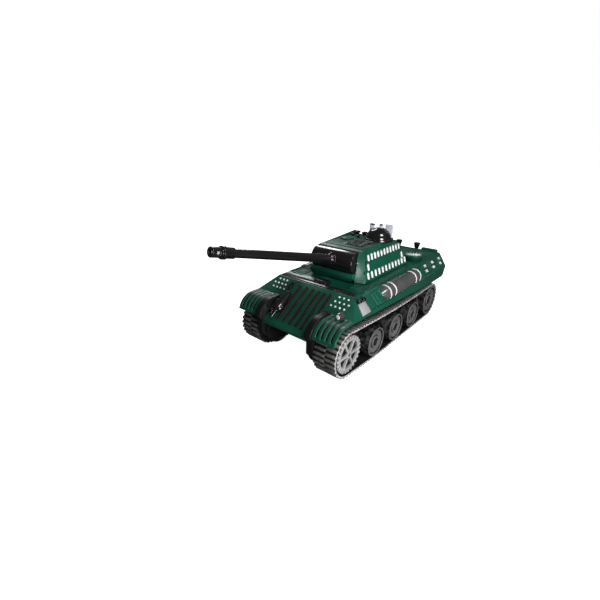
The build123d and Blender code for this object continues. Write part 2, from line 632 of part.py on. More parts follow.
def battery_cells():
    cells = []
    for y in CELL_YS:
        cell = Pos(-14, y, CELL_Z) * Rot(Y=90) * Cylinder(CELL_R, 48)
        cells.append(cell + Pos(10.6, y, CELL_Z) * Rot(Y=90) * Cylinder(2.6, 1.6))
    return cells


def battery_contacts():
    """A sprung plate behind each cell and a flat one before it, clipped to the floor."""
    contacts = []
    for y in CELL_YS:
        contacts.append(block(11.5, 12.0, y - 5, y + 5, FLOOR_Z + WALL + 0.5, CELL_Z + 6))
        spring = Pos(-39.3, y, CELL_Z) * Rot(Y=90) * Cone(4.2, 2.6, 2.4)
        contacts.append(spring + block(-41, -40.4, y - 5, y + 5, FLOOR_Z + WALL + 0.5, CELL_Z + 6))
    return contacts


def control_board():
    board = block(-80, -48, -14, 14, 36, 37.6)
    board += block(-74, -66, -5, 3, 37.6, 39.4)
    board += block(-60, -55, 4, 11, 37.6, 41)
    board += disc_z(-54, -7, 3.0, 37.6, 44)
    return board


def speaker():
    floor = FLOOR_Z + WALL
    return disc_z(45, 0, 14, floor, floor + 3) + disc_z(45, 0, 6, floor + 3, floor + 6)


def drive_motor():
    """Small flat-sided motor across the hull with its shaft towards the gears."""
    can = disc_y(MOTOR_X, MOTOR_Z, 6.0, 2.5, 17.5)
    can = can & block(MOTOR_X - 7, MOTOR_X + 7, 0, 20, MOTOR_Z - 5, MOTOR_Z + 5)
    return can + disc_y(MOTOR_X, MOTOR_Z, 2.0, 17.5, 18.3)


def power_switch():
    slider = block(-65.6, -61.6, -1.6, 1.6, FLOOR_Z - 0.9, FLOOR_Z + WALL + 0.4)
    return slider + block(-68, -59, -5.6, 5.6, FLOOR_Z + WALL + 0.3, FLOOR_Z + WALL + 1.5)


def hull_screw(x, y):
    screw = disc_z(x, y, 2.3, POST_TOP - 3.6, POST_TOP - 2)
    screw += disc_z(x, y, SCREW_R, POST_TOP - 2, POST_TOP + 12)
    cross = Pos(x, y, POST_TOP - 3.6) * (Box(3, 0.7, 1.4) + Box(0.7, 3, 1.4))
    return screw - cross


# ---- turret -------------------------------------------------------------------------
def turret_mass(inset):
    """Frustum with a faceted front: six-sided base and roof joined by flat walls."""
    z_low = TURRET_BASE_Z - (0.01 if inset else 0)
    base = [(-38.8, 34), (51.2, 34), (57, 25.6)]
    roof = [(-20.8, 26), (44, 26), (52, 23.6)]
    outlines = []
    for points, z in ((base, z_low), (roof, TURRET_TOP)):
        ring = points + [(x, -y) for x, y in reversed(points)]
        face = Pos(0, 0, z) * make_face(Polyline(*ring, close=True))
        outlines.append(offset(face, -inset, kind=Kind.INTERSECTION) if inset else face)
    mass = loft(outlines, ruled=True)
    return mass - block(-60, 80, -50, 50, TURRET_TOP - inset, 120) if inset else mass


def turret_shell():
    """Hollow turret: raised roof plate, ridge on the right, round recess for the mantlet, chin."""
    recess_r = MANTLET_R + 0.5
    recess_half = MANTLET_HALF + 0.4
    chin = side_plate([(50, TURRET_BASE_Z + 0.9), (56.4, TURRET_BASE_Z + 0.9), (60.6, 72.6),
                       (60.0, 76.4), (50, 76.4)], -25.0, 25.0)
    hollow = turret_mass(1.8)
    shell = turret_mass(0) + chin - hollow
    shell -= disc_y(TRUNNION_X, TRUNNION_Z, recess_r, -recess_half, recess_half)
    top = block(-17.5, 41.0, -22.6, 22.6, TURRET_TOP - 0.4, TURRET_TOP + ROOF_PLATE)
    plate = chamfer(top.edges().group_by(Axis.Z)[-1], 0.6)
    shell += plate - disc_z(CUPOLA_X, CUPOLA_Y, CUPOLA_R + 0.1, TURRET_TOP, TURRET_TOP + 2)
    shell += side_plate([(38, TURRET_TOP - 0.4), (38, TURRET_TOP + 0.3), (-18.4, TURRET_TOP + 4.2),
                         (-19.8, TURRET_TOP - 0.4)], -25.4, -23.2)
    for side in (1, -1):
        blind = disc_y(TRUNNION_X, TRUNNION_Z, 1.5, recess_half - 0.1, recess_half + 0.9)
        shell -= blind if side > 0 else mirrored(blind)
    return shell


def turret_base():
    """Plate under the turret with the spigot, bayonet tabs and ring gear below it."""
    z = TURRET_BASE_Z
    base = block(-34.6, 44.0, -31.0, 31.0, z, z + 1.6)
    base += disc_z(TURRET_X, 0, RING_R - 0.06, 62.0, z + 0.8)
    for angle in BAYONET_TABS:
        base += bayonet_tab(angle, 0, 62.6, DECK_Z - WALL - 0.4)
    base += Pos(TURRET_X, 0, 57.6) * extrude(gear_outline(RING_TEETH), amount=4.8)
    return base - disc_z(TURRET_X, 0, 18.0, 50, z + 3)


def gun_frame(shape):
    """Lay a piece drawn along +X from the trunnion onto the elevated gun axis."""
    return Pos(TRUNNION_X, 0, TRUNNION_Z) * Rot(Y=-GUN_ELEVATION) * shape


def mantlet():
    """Round black shield that turns with the gun on the trunnion pin."""
    shield = disc_y(0, 0, MANTLET_R, -MANTLET_HALF, MANTLET_HALF)
    shield -= block(-20, -4.5, -30, 30, -20, 20)
    shield -= disc_y(0, 0, 1.5 + RUN_GAP, -30, 30)
    shield -= disc_y(0, 0, MANTLET_R - 2.2, -MANTLET_HALF + 3, MANTLET_HALF - 3) \
        - disc_y(0, 0, 4.0, -30, 30)
    shield -= Pos(8, 0, 0) * Rot(Y=90) * Cylinder(4.0, 8)
    return gun_frame(shield)


def gun_barrel():
    """Hollow tapered barrel with a thicker root collar."""
    shoulder = MANTLET_R + 0.05
    profile = [(4.6, 2.0), (4.6, 3.95), (shoulder, 3.95), (shoulder, 5.0), (13.4, 5.0), (14.2, 4.05),
               (BRAKE_START, 3.2), (BRAKE_START, 2.0)]
    return gun_frame(revolve(make_face(Polyline(*profile, close=True)), Axis.X))


def muzzle_brake():
    """Sleeve, flange ring and slotted muzzle, bored through."""
    points = [(BRAKE_START, 1.9), (BRAKE_START, 4.0), (135.6, 4.0), (135.6, 4.7), (138.6, 4.7),
              (138.6, 3.5), (141.0, BRAKE_R), (GUN_LENGTH, BRAKE_R), (GUN_LENGTH, 1.9)]
    brake = revolve(make_face(Polyline(*points, close=True)), Axis.X)
    for turn in (0, 90):
        slot = Rot(X=turn) * Pos(142.6, 0, 0) * Box(3.4, 2.2, 12)
        brake -= slot
    return gun_frame(brake)


def muzzle_lamp():
    lamp = Pos(GUN_LENGTH - 9.0, 0, 0) * Rot(Y=90) * Cylinder(1.85, 6)
    lamp += Pos(GUN_LENGTH - 6.0, 0, 0) * Sphere(1.85)
    return gun_frame(lamp)


def roof_grille():
    """Dark louvre frame let onto the roof, with slanted bars."""
    z = TURRET_TOP + ROOF_PLATE
    outline = make_face(Polyline((36.0, -5.0), (36.0, 17.0), (6.0, 17.0), (15.5, -5.0), close=True))
    pieces = Pos(0, 0, z) * extrude(outline, amount=0.5)
    for bar in range(6):
        x = 33.5 - 4.4 * bar
        pieces += Pos(x, 6.0, z + 0.8) * Rot(Y=28) * Box(2.6, 19.0, 0.7)
    keep = Pos(0, 0, z) * extrude(outline, amount=3)
    return pieces & keep


def roof_fittings():
    """Round hatch and four mushroom caps on the roof's right side."""
    z = TURRET_TOP + ROOF_PLATE
    fittings = [turned_z([(0, z), (7.2, z), (7.2, z + 0.9), (6.4, z + 1.5), (0, z + 1.9)], 14.0, -14.0)]
    for x, y, size in ((-4.5, -18.5, 1.0), (0.5, -8.5, 1.0), (-13.6, -9.2, 1.3), (-13.8, -18.4, 1.3)):
        cap = [(0, 0), (1.5, 0), (1.5, 1.0), (2.7, 1.4), (2.2, 2.6), (0, 2.9)]
        fittings.append(turned_z([(size * r, z + size * up) for r, up in cap], x, y))
    return fittings


def cupola():
    """Ring and dome at the roof's left rear, lapping a little over the rear wall."""
    z = TURRET_TOP
    rim = z + 2.8
    steps = [(CUPOLA_R, z - 2.4), (CUPOLA_R, rim - 0.6), (CUPOLA_R - 0.9, rim), (CUPOLA_R - 1.4, rim)]
    dome_r = CUPOLA_R - 1.8
    dome = [(dome_r * cos(radians(a)), rim + CUPOLA_DOME * sin(radians(a))) for a in range(0, 90, 10)]
    whole = turned_z([(0, z - 2.4)] + steps + dome + [(0, rim + CUPOLA_DOME)], CUPOLA_X, CUPOLA_Y)
    return whole - turret_mass(0)


def cupola_periscopes():
    """Three upright clear periscope blocks standing on the dome."""
    blocks = []
    solid_dome = cupola()
    for x, y, width in PERISCOPES:
        prism = block(x - 1.3, x + 1.3, y - width / 2, y + width / 2, TURRET_TOP + 2.6, PERISCOPE_TOP)
        blocks.append(prism - solid_dome)
    return [max(b.solids(), key=lambda s: s.volume) for b in blocks]


def turret_side_studs():
    """Rows of upright pill studs round the border of each turret side."""
    slope = atan2(34 - 26, TURRET_TOP - TURRET_BASE_Z)
    studs = []
    spots = [(40.0 - 6.25 * i, 0.77) for i in range(11)]
    spots += [(45.0 - 7.0 * i, 0.20) for i in range(12)]
    spots += [(42.6, 0.48), (-26.6, 0.42)]
    for x, share in spots:
        y = 34 - share * 8
        z = TURRET_BASE_Z + share * (TURRET_TOP - TURRET_BASE_Z)
        frame = Plane(origin=(x, y, z), x_dir=(1, 0, 0), z_dir=(0, cos(slope), sin(slope)))
        stud = frame * extrude(SlotOverall(6.6, 2.9, rotation=90), amount=0.7)
        studs += [stud, mirrored(stud)]
    return studs


def turret_pinion():
    """Small gear on the turret motor's shaft, meshing with the ring gear."""
    x = TURRET_X - MODULE * (RING_TEETH + TURRET_PINION_TEETH) / 2
    teeth = Rot(Z=180 / TURRET_PINION_TEETH) * gear_outline(TURRET_PINION_TEETH)
    gear = Pos(x, 0, 57.8) * extrude(teeth, amount=3.8)
    return gear - disc_z(x, 0, 0.5, 50, 70)


def turret_motor():
    x = TURRET_X - MODULE * (RING_TEETH + TURRET_PINION_TEETH) / 2
    can = disc_z(x, 0, 6.0, 40, 55) & block(x - 6, x + 6, -5, 5, 39, 56)
    return can + disc_z(x, 0, 0.45, 55, 61)


# ---- drive train --------------------------------------------------------------------
def final_gear():
    """Gear on the drive axle, one tooth pointing at the compound shaft."""
    toward = 180 - SHAFT_RISE
    return gear_y(FINAL_TEETH, SPROCKET_X, SPROCKET_Z, 27.6, 31.2, toward, AXLE_R)


def compound_gear():
    """Small and large gear on one shaft that passes through the tub wall."""
    gap = 180 / COMPOUND_SMALL
    small = gear_y(COMPOUND_SMALL, SHAFT_X, SHAFT_Z, 27.2, 31.4, -SHAFT_RISE + gap)
    big = gear_y(COMPOUND_BIG, SHAFT_X, SHAFT_Z, 20.2, 23.6, 180.0)
    shaft = disc_y(SHAFT_X, SHAFT_Z, 1.0, 18.5, 31.4)
    return small + big + shaft


def motor_pinion():
    gap = 180 / PINION_TEETH
    teeth = gear_y(PINION_TEETH, MOTOR_X, MOTOR_Z, 20.0, 23.8, gap)
    return teeth + disc_y(MOTOR_X, MOTOR_Z, 0.7, 18.6, 20.0)


def drive_axle():
    return disc_y(SPROCKET_X, SPROCKET_Z, AXLE_R, 22.0, 56.0)


# ---- write every node ---------------------------------------------------------------
def write_all():
    os.makedirs("parts", exist_ok=True)
    save("lower_hull", lower_hull())
    save("upper_hull", upper_hull())
    pairs = {
        "gear_housing": gear_housing(),
        "track": make_track(),
        "sprocket": sprocket(),
        "drive_axle": drive_axle(),
        "final_gear": final_gear(),
        "compound_gear": compound_gear(),
        "motor_pinion": motor_pinion(),
        "drive_motor": drive_motor(),
        "idler": road_wheel(IDLER_R, IDLER_X, IDLER_Z),
    }
    for number, x in enumerate(WHEEL_XS, 1):
        pairs[f"road_wheel_{number}"] = road_wheel(WHEEL_R, x, WHEEL_Z)
    for name, shape in pairs.items():
        save(f"{name}_left", shape)
        save(f"{name}_right", mirrored(shape))
    pins = [wheel_pin(x, WHEEL_Z) for x in WHEEL_XS] + [wheel_pin(IDLER_X, IDLER_Z)]
    save("wheel_pins", *pins, *[mirrored(p) for p in pins])
    save("glacis_bars", *glacis_bars())
    save("glacis_studs", *glacis_studs())
    save("headlight", headlight())
    save("bow_gun", bow_gun())
    save("deck_strip", deck_strip())
    save("stowage_tubes", *stowage_tubes())
    save("side_launchers", *side_launchers())
    save("hull_side_studs", *hull_side_studs())
    for name, shape in (("fan_housings", fan_housing()), ("fan_grilles", fan_grille()),
                        ("exhaust_stacks", exhaust_stack()), ("rear_bins", rear_bin())):
        save(name, shape, mirrored(shape))
    save("battery_door", battery_door())
    save("battery_cells", *battery_cells())
    save("battery_contacts", *battery_contacts())
    save("control_board", control_board())
    save("speaker", speaker())
    save("power_switch", power_switch())
    save("hull_screws", *[hull_screw(x, y) for x, y in POSTS])
    save("turret_motor", turret_motor())
    save("turret_pinion", turret_pinion())
    save("turret_shell", turret_shell())
    save("turret_base", turret_base())
    save("turret_side_studs", *turret_side_studs())
    save("trunnion_pin", disc_y(TRUNNION_X, TRUNNION_Z, 1.5, -MANTLET_HALF - 1.2, MANTLET_HALF + 1.2))
    save("roof_grille", roof_grille())
    save("roof_fittings", *roof_fittings())
    save("cupola", cupola())
    save("cupola_periscopes", *cupola_periscopes())
    save("mantlet", mantlet())
    save("gun_barrel", gun_barrel())
    save("muzzle_brake", muzzle_brake())
    save("muzzle_lamp", muzzle_lamp())


write_all()
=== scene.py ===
import json
from math import asin, atan2, cos, hypot, pi, radians, sin

import bmesh
import bpy
import numpy as np
from bpy.props import FloatProperty, FloatVectorProperty, IntProperty, PointerProperty
from bpy.types import Operator, Panel, PropertyGroup
from mathutils import Matrix, Vector


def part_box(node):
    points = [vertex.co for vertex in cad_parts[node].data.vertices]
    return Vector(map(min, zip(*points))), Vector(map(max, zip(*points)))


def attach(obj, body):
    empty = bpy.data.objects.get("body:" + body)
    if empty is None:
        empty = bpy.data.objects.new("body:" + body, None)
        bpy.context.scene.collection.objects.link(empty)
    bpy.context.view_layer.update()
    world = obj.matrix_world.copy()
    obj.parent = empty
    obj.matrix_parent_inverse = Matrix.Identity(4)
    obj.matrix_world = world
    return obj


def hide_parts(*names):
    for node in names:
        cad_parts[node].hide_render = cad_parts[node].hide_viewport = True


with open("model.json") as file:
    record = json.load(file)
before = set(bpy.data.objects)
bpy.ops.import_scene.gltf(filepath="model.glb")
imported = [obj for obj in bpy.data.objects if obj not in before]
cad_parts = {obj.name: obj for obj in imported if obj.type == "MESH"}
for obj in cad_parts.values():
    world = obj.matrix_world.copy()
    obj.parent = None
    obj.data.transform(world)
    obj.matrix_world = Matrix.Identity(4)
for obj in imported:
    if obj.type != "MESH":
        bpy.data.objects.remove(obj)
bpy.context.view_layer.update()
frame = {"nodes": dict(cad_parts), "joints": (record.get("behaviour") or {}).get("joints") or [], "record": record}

bl_info = {
    "name": "Toy Tank",
    "version": (1, 0, 0),
    "blender": (4, 5, 0),
    "location": "View3D > Sidebar > Toy Tank",
    "description": "Builds the visible pieces and finishes of a toy tank round its fixed frame",
    "category": "Object",
}

MM = 0.001
BODIES = frame["record"]["behaviour"]["bodies"]
NODE_BODY = {node: body for body, nodes in BODIES.items() for node in nodes}
NODE_SLOT = {part["node"]: part["material_slot"] for part in frame["record"]["subparts"]}
PIVOT = {joint["name"]: np.array(joint.get("pos_m", (0, 0, 0))) for joint in frame["joints"]}
SIDES = (("left", 1.0), ("right", -1.0))
UPRIGHT = ((1, 0, 0), (0, 1, 0), (0, 0, 1))

# Midway between the second and third road wheels, where the X of fixed places counts from.
TANK_X = PIVOT["sprocket_spin_left"][0] - 106.2 * MM

LINK_STEPS = 6        # rings of the band for each link of a track
CLEAT_STEPS = 40      # points along the track for each link, which cleats are set on
TEETH, SPOKES = 24, 6
TOOTH_ROOT, RIM_INNER = 14.8 * MM, 12.9 * MM
HUB_BOLTS = 5
WHEEL_R = 14.4 * MM   # the radius that the wheel's profile is drawn for
MANTLET_R, MANTLET_HALF_ARC = 10.6 * MM, radians(113)
DOME_RISE, RING_STUDS = 10.2 * MM, 12
TUBE_R, TUBE_Z = 7.9 * MM, 58.6 * MM
STRAPS = (2.0, 12.0, 57.0, 68.0)
FAN_BLADES, BLADE_LEAN = 14, radians(20.0)
GROOVES = (37.8, 42.6, 47.4, 52.2)
SLATS = 6
CAMERA_YAW, CAMERA_PITCH, CAMERA_ROLL = -2.42865974, 0.408099761, 0.0110056142


# ---- sizes and colours a user would change --------------------------------------------
def length(label, about, default):
    """A length property in metres."""
    return FloatProperty(name=label, description=about, default=default, min=0.0,
                         unit="LENGTH", precision=5)


def colour(label, about, default):
    """A linear colour property."""
    return FloatVectorProperty(name=label, description=about, default=default, size=3,
                               min=0.0, max=1.0, subtype="COLOR")


class TankSizes(PropertyGroup):
    edge_round: length("Edge rounding", "Width of the rounding on the moulded body's edges",
                       0.00032)
    small_round: length("Small edge rounding", "Width of the rounding on small fittings",
                        0.0002)
    loop_gap: length("Wheel to track gap",
                     "Clearance between a wheel and the track's inner face", 0.0004)
    band: length("Track band", "Thickness of the track between its cleats", 0.0013)
    cleat: length("Track cleat", "Height of the cleats above the band", 0.0011)
    sag: length("Track sag", "How far the upper run hangs at its middle", 0.0024)
    links: IntProperty(name="Track links", description="Cleats in one column of one track",
                       default=100, min=20)
    sprocket_r: length("Sprocket radius", "Tip radius of the sprocket's toothed face", 0.0171)
    gun_angle: FloatProperty(name="Gun elevation", description="Angle of the gun at rest",
                             default=radians(14.0), subtype="ANGLE")


class TankColours(PropertyGroup):
    body: colour("Body green", "Moulded body", (0.004, 0.070, 0.043))
    # Painted highlight: the pale colour laid on the body's edges.
    body_edge_highlight: colour("Body edge", "Pale bloom where the body's edges are rubbed",
                      (0.10, 0.36, 0.27))
    black: colour("Hull black", "Lower hull and inner walls", (0.007, 0.007, 0.0075))
    brown: colour("Bar brown", "Bars and strips on the glacis and fenders", (0.010, 0.004, 0.0035))
    white: colour("Stud white", "Studs, bands and fan grilles", (0.84, 0.87, 0.85))
    gun: colour("Gun black", "Gun, mantlet and cupola", (0.006, 0.006, 0.007))
    trim: colour("Trim", "Deck strip and roof fittings", (0.009, 0.008, 0.009))
    tube: colour("Tube grey", "Stowage tubes", (0.075, 0.075, 0.077))
    rubber: colour("Track black", "Track links", (0.008, 0.008, 0.0085))
    # Painted highlight: the pale grey laid on the cleats' tops and ends and on the track's outer edge.
    rubber_highlight: colour("Track worn", "Rubbed faces of the track's cleats", (0.46, 0.45, 0.44))
    wheel: colour("Wheel grey", "Road wheels and idlers", (0.105, 0.105, 0.104))
    sprocket: colour("Sprocket silver", "Drive sprockets and launcher plate",
                     (0.32, 0.325, 0.32))
    lamp: colour("Lamp", "Headlight body", (0.05, 0.045, 0.045))
    clear: colour("Clear plastic", "Periscope prisms and lamp lens", (0.80, 0.82, 0.92))


class TankStage(PropertyGroup):
    floor: colour("Floor", "Plain pale floor", (0.95, 0.95, 0.95))
    key: FloatProperty(name="Key light", description="Power of the main soft light", default=8.0,
                       subtype="POWER")
    side: FloatProperty(name="Side light", description="Power of the low light by the front wheels",
                        default=1.3, subtype="POWER")
    back: FloatProperty(name="Back light", description="Power of the light from behind",
                        default=3.5, subtype="POWER")
    sky: FloatProperty(name="Surround", description="Brightness of the surround as a light",
                       default=0.10, min=0.0)
    lens: FloatProperty(name="Lens", description="Focal length on a 36 mm wide frame, in mm",
                        default=20.49)


# ---- surfaces -------------------------------------------------------------------------
def rounded(points, radius, steps=4, closed=True):
    """A polyline whose corners are bent round: each corner P becomes the quadratic curve
    (1-t)^2 A + 2t(1-t) P + t^2 B, where A and B lie radius back along its two edges."""
    p = np.asarray(points, float)
    before = np.roll(p, 1, 0) - p
    after = np.roll(p, -1, 0) - p
    far_before = np.linalg.norm(before, axis=1, keepdims=True)
    far_after = np.linalg.norm(after, axis=1, keepdims=True)
    cut = np.minimum(np.reshape(radius, (-1, 1)), 0.45 * np.minimum(far_before, far_after))
    a = (p + before / far_before * cut)[:, None]
    b = (p + after / far_after * cut)[:, None]
    t = np.linspace(0.0, 1.0, steps)[None, :, None]
    curve = (1 - t) ** 2 * a + 2 * t * (1 - t) * p[:, None] + t ** 2 * b
    if closed:
        return curve.reshape(-1, p.shape[1])
    return np.vstack([p[:1], curve[1:-1].reshape(-1, p.shape[1]), p[-1:]])


def turned(profile, segments=72):
    """Rings of a turned shape: the profile point (r, h) goes round as (r cos t, r sin t, h)."""
    profile = np.asarray(profile, float)
    t = np.linspace(0.0, 2 * pi, segments, endpoint=False)
    r, h = profile[:, :1], profile[:, 1:2]
    return np.stack([r * np.cos(t), r * np.sin(t), h + 0 * t], -1)[None]


def carried(section, centres, across, up):
    """Rings of a section carried along a path: the point (u, v) of the section sits at
    centre + u across + v up, with one centre, across and up for each ring."""
    section = np.asarray(section, float)
    u = section[..., 0][..., None]
    v = section[..., 1][..., None]
    centres, across, up = (np.asarray(a, float)[:, None, :] for a in (centres, across, up))
    return (centres + u * across + v * up)[None]


def placed(rings, origin, x_axis, y_axis, z_axis):
    """The same rings in a frame: origin + x x_axis + y y_axis + z z_axis."""
    return rings @ np.array([x_axis, y_axis, z_axis], float) + np.asarray(origin, float)


def about_y(rings, x, z):
    """Rings drawn about their own Z axis, laid about the Y line through x, z; h becomes y."""
    return placed(rings, (x, 0, z), (1, 0, 0), (0, 0, 1), (0, 1, 0))


def mirrored(rings, sign):
    """The rings on the tank's left for +1, or mirrored to its right for -1."""
    return rings * np.array([1.0, sign, 1.0])


def on_both(rings, looped):
    """Two shells: the rings on the left, and the same mirrored to the right."""
    return [(mirrored(rings, sign), looped) for _, sign in SIDES]


def stacked(outline, middle, sizes, heights):
    """Rings of a flat outline piled up in Z: each is middle + size times the outline, at
    its own height."""
    points = middle + outline[None] * np.array(sizes)[:, None, None]
    levels = np.broadcast_to(np.array(heights)[:, None, None], points.shape[:2] + (1,))
    return np.concatenate([points, levels], -1)[None]


def skin(shape, looped, start):
    """Faces of (copies, rings, around) points: quads between neighbouring rings, with a
    flat cap on the first and last ring unless the rings run in a loop."""
    copies, rings, around = shape
    ring, turn = np.meshgrid(np.arange(rings if looped else rings - 1), np.arange(around),
                             indexing="ij")
    up, on = (ring + 1) % rings, (turn + 1) % around
    quads = np.stack([ring * around + turn, ring * around + on,
                      up * around + on, up * around + turn], -1)
    first = start + np.arange(copies)[:, None, None] * rings * around
    faces = (quads.reshape(1, -1, 4) + first).reshape(-1, 4).tolist()
    if not looped:
        caps = np.stack([np.arange(around), (rings - 1) * around + np.arange(around)])
        faces += (caps[None] + first).reshape(-1, around).tolist()
    return faces


def new_object(name, mesh):
    """A mesh object at the origin, in the scene."""
    obj = bpy.data.objects.new(name, mesh)
    bpy.context.scene.collection.objects.link(obj)
    return obj


def shade(mesh, angle):
    """Smooth shading that stays sharp at edges steeper than the angle."""
    mesh.polygons.foreach_set("use_smooth", np.ones(len(mesh.polygons), bool))
    mesh.set_sharp_from_angle(angle=radians(angle))


def surface(name, shells, tone_and_painted_light=None, angle=40.0):
    """An object from arrays of rings.  Each shell is (rings array, whether it loops); the last argument
    is one array of values for each shell, kept on the points as an attribute that marks painted
    highlight, painted shade and a tyre's own black."""
    points, faces, start = [], [], 0
    for rings, looped in shells:
        faces += skin(rings.shape[:3], looped, start)
        points.append(rings.reshape(-1, 3))
        start += points[-1].shape[0]
    mesh = bpy.data.meshes.new(name)
    mesh.from_pydata(np.vstack(points).tolist(), [], faces)
    if tone_and_painted_light is not None:
        values = np.concatenate([np.broadcast_to(w, rings.shape[:3]).reshape(-1)
                                 for w, (rings, looped) in zip(tone_and_painted_light, shells)])
        layer = mesh.attributes.new("tone_and_painted_light", "FLOAT", "POINT")
        layer.data.foreach_set("value", values.astype(np.float32))
    work = bmesh.new()
    work.from_mesh(mesh)
    bmesh.ops.recalc_face_normals(work, faces=work.faces)
    work.to_mesh(mesh)
    work.free()
    mesh.validate()
    shade(mesh, angle)
    return new_object(name, mesh)


def softened(node, width, segments=2, angle=28.0):
    """A copy of a CAD node with its loose triangles joined and its edges rounded by a
    bevel; it stands for the node."""
    mesh = frame["nodes"][node].data.copy()
    mesh.materials.clear()
    work = bmesh.new()
    work.from_mesh(mesh)
    bmesh.ops.remove_doubles(work, verts=work.verts, dist=2e-6)
    bmesh.ops.dissolve_degenerate(work, edges=work.edges, dist=2e-6)
    work.to_mesh(mesh)
    work.free()
    obj = new_object(node + "_soft", mesh)
    bevel = obj.modifiers.new("Rounded edges", "BEVEL")
    bevel.width = width
    bevel.segments = segments
    bevel.limit_method = "ANGLE"
    bevel.angle_limit = radians(angle)
    bevel.use_clamp_overlap = False
    bevel.harden_normals = False
    bevel.miter_outer = "MITER_ARC"
    shade(mesh, 38.0)
    stand_for(obj, node)
    return obj


def stand_for(obj, node, slot=None):
    """The piece takes the place and body of a CAD node, with the finish of its slot."""
    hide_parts(node)
    add_to(obj, NODE_BODY[node], slot or NODE_SLOT[node])


def add_to(obj, body, slot):
    """An extra piece on a body, with the finish of a slot."""
    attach(obj, body)
    obj.data.materials.append(finish(slot))


# ---- shared shader groups -------------------------------------------------------------
def wire(tree, source, target):
    """Join an output socket to an input socket."""
    tree.links.new(source, target)


def new_group(name, inputs, outputs):
    """An empty shader group with float inputs (name, default) and outputs (name, type)."""
    tree = bpy.data.node_groups.new(name, "ShaderNodeTree")
    for label, default in inputs:
        socket = tree.interface.new_socket(name=label, in_out="INPUT",
                                           socket_type="NodeSocketFloat")
        socket.default_value = default
    for label, kind in outputs:
        tree.interface.new_socket(name=label, in_out="OUTPUT", socket_type=kind)
    return tree, tree.nodes.new("NodeGroupInput"), tree.nodes.new("NodeGroupOutput")


def maths(tree, operation, a, b=None, clamp=False):
    """A math node; a and b are numbers or sockets."""
    node = tree.nodes.new("ShaderNodeMath")
    node.operation = operation
    node.use_clamp = clamp
    for socket, value in zip(node.inputs, (a, b)):
        if value is None:
            continue
        if isinstance(value, (int, float)):
            socket.default_value = value
        else:
            wire(tree, value, socket)
    return node.outputs[0]


def ramped(tree, value, low, high, out_low=0.0, out_high=1.0):
    """A value mapped from low..high to out_low..out_high and held there."""
    node = tree.nodes.new("ShaderNodeMapRange")
    node.interpolation_type = "SMOOTHSTEP"
    wire(tree, value, node.inputs["Value"])
    for label, number in (("From Min", low), ("From Max", high),
                          ("To Min", out_low), ("To Max", out_high)):
        node.inputs[label].default_value = number
    return node.outputs["Result"]


def noise(tree, scale, detail=3.0, roughness=0.55, stretch=None):
    """Noise on Object coordinates, optionally stretched along the axes."""
    place = tree.nodes.new("ShaderNodeTexCoord").outputs["Object"]
    if stretch:
        mapping = tree.nodes.new("ShaderNodeMapping")
        mapping.inputs["Scale"].default_value = stretch
        wire(tree, place, mapping.inputs["Vector"])
        place = mapping.outputs["Vector"]
    node = tree.nodes.new("ShaderNodeTexNoise")
    wire(tree, place, node.inputs["Vector"])
    node.inputs["Detail"].default_value = detail
    node.inputs["Roughness"].default_value = roughness
    if isinstance(scale, (int, float)):
        node.inputs["Scale"].default_value = scale
    else:
        wire(tree, scale, node.inputs["Scale"])
    return node.outputs["Fac"]


def moulded_group():
    """Moulded plastic: Mottle is a slow flow variation, Height a fine grain with flow waves."""
    tree, given, out = new_group("Moulded surface", [("Grain scale", 2600.0), ("Flow scale", 45.0)],
                                 [("Mottle", "NodeSocketFloat"), ("Height", "NodeSocketFloat")])
    flow = noise(tree, given.outputs["Flow scale"], 4.0)
    grain = noise(tree, given.outputs["Grain scale"], 2.0)
    wire(tree, ramped(tree, flow, 0.3, 0.7), out.inputs["Mottle"])
    wire(tree, maths(tree, "ADD", maths(tree, "MULTIPLY", flow, 0.35), grain), out.inputs["Height"])
    return tree


def edge_highlight_group():
    """Painted edge highlight: a mask where the surface bends within Reach, broken up by noise, on which colours
    paint the light that catches the edges.
    """
    tree, given, out = new_group("Painted edge highlight", [("Reach", 0.0005), ("Break-up", 0.5)],
                                 [("Mask", "NodeSocketFloat"), ("Normal", "NodeSocketVector")])
    bevel = tree.nodes.new("ShaderNodeBevel")
    bevel.samples = 6
    wire(tree, given.outputs["Reach"], bevel.inputs["Radius"])
    geometry = tree.nodes.new("ShaderNodeNewGeometry")
    dot = tree.nodes.new("ShaderNodeVectorMath")
    dot.operation = "DOT_PRODUCT"
    wire(tree, bevel.outputs["Normal"], dot.inputs[0])
    wire(tree, geometry.outputs["Normal"], dot.inputs[1])
    bend = maths(tree, "SUBTRACT", 1.0, dot.outputs["Value"])
    patches = maths(tree, "MULTIPLY", noise(tree, 420.0, 3.0), given.outputs["Break-up"])
    mask = maths(tree, "SUBTRACT", ramped(tree, bend, 0.01, 0.16), patches, clamp=True)
    wire(tree, mask, out.inputs["Mask"])
    wire(tree, bevel.outputs["Normal"], out.inputs["Normal"])
    return tree


def dust_group():
    """Fine dust: thicker where the surface faces up, in soft patches and specks."""
    tree, given, out = new_group("Settled dust", [("Amount", 0.3)], [("Mask", "NodeSocketFloat")])
    geometry = tree.nodes.new("ShaderNodeNewGeometry")
    parts = tree.nodes.new("ShaderNodeSeparateXYZ")
    wire(tree, geometry.outputs["Normal"], parts.inputs[0])
    upward = ramped(tree, parts.outputs["Z"], 0.1, 1.0, 0.25, 1.0)
    patches = ramped(tree, noise(tree, 60.0, 5.0), 0.42, 0.72)
    specks = ramped(tree, noise(tree, 1700.0, 1.0), 0.66, 0.74)
    cover = maths(tree, "ADD", maths(tree, "MULTIPLY", patches, 0.7),
                  maths(tree, "MULTIPLY", specks, 0.5))
    cover = maths(tree, "MULTIPLY", cover, upward)
    wire(tree, maths(tree, "MULTIPLY", cover, given.outputs["Amount"], clamp=True),
         out.inputs["Mask"])
    return tree


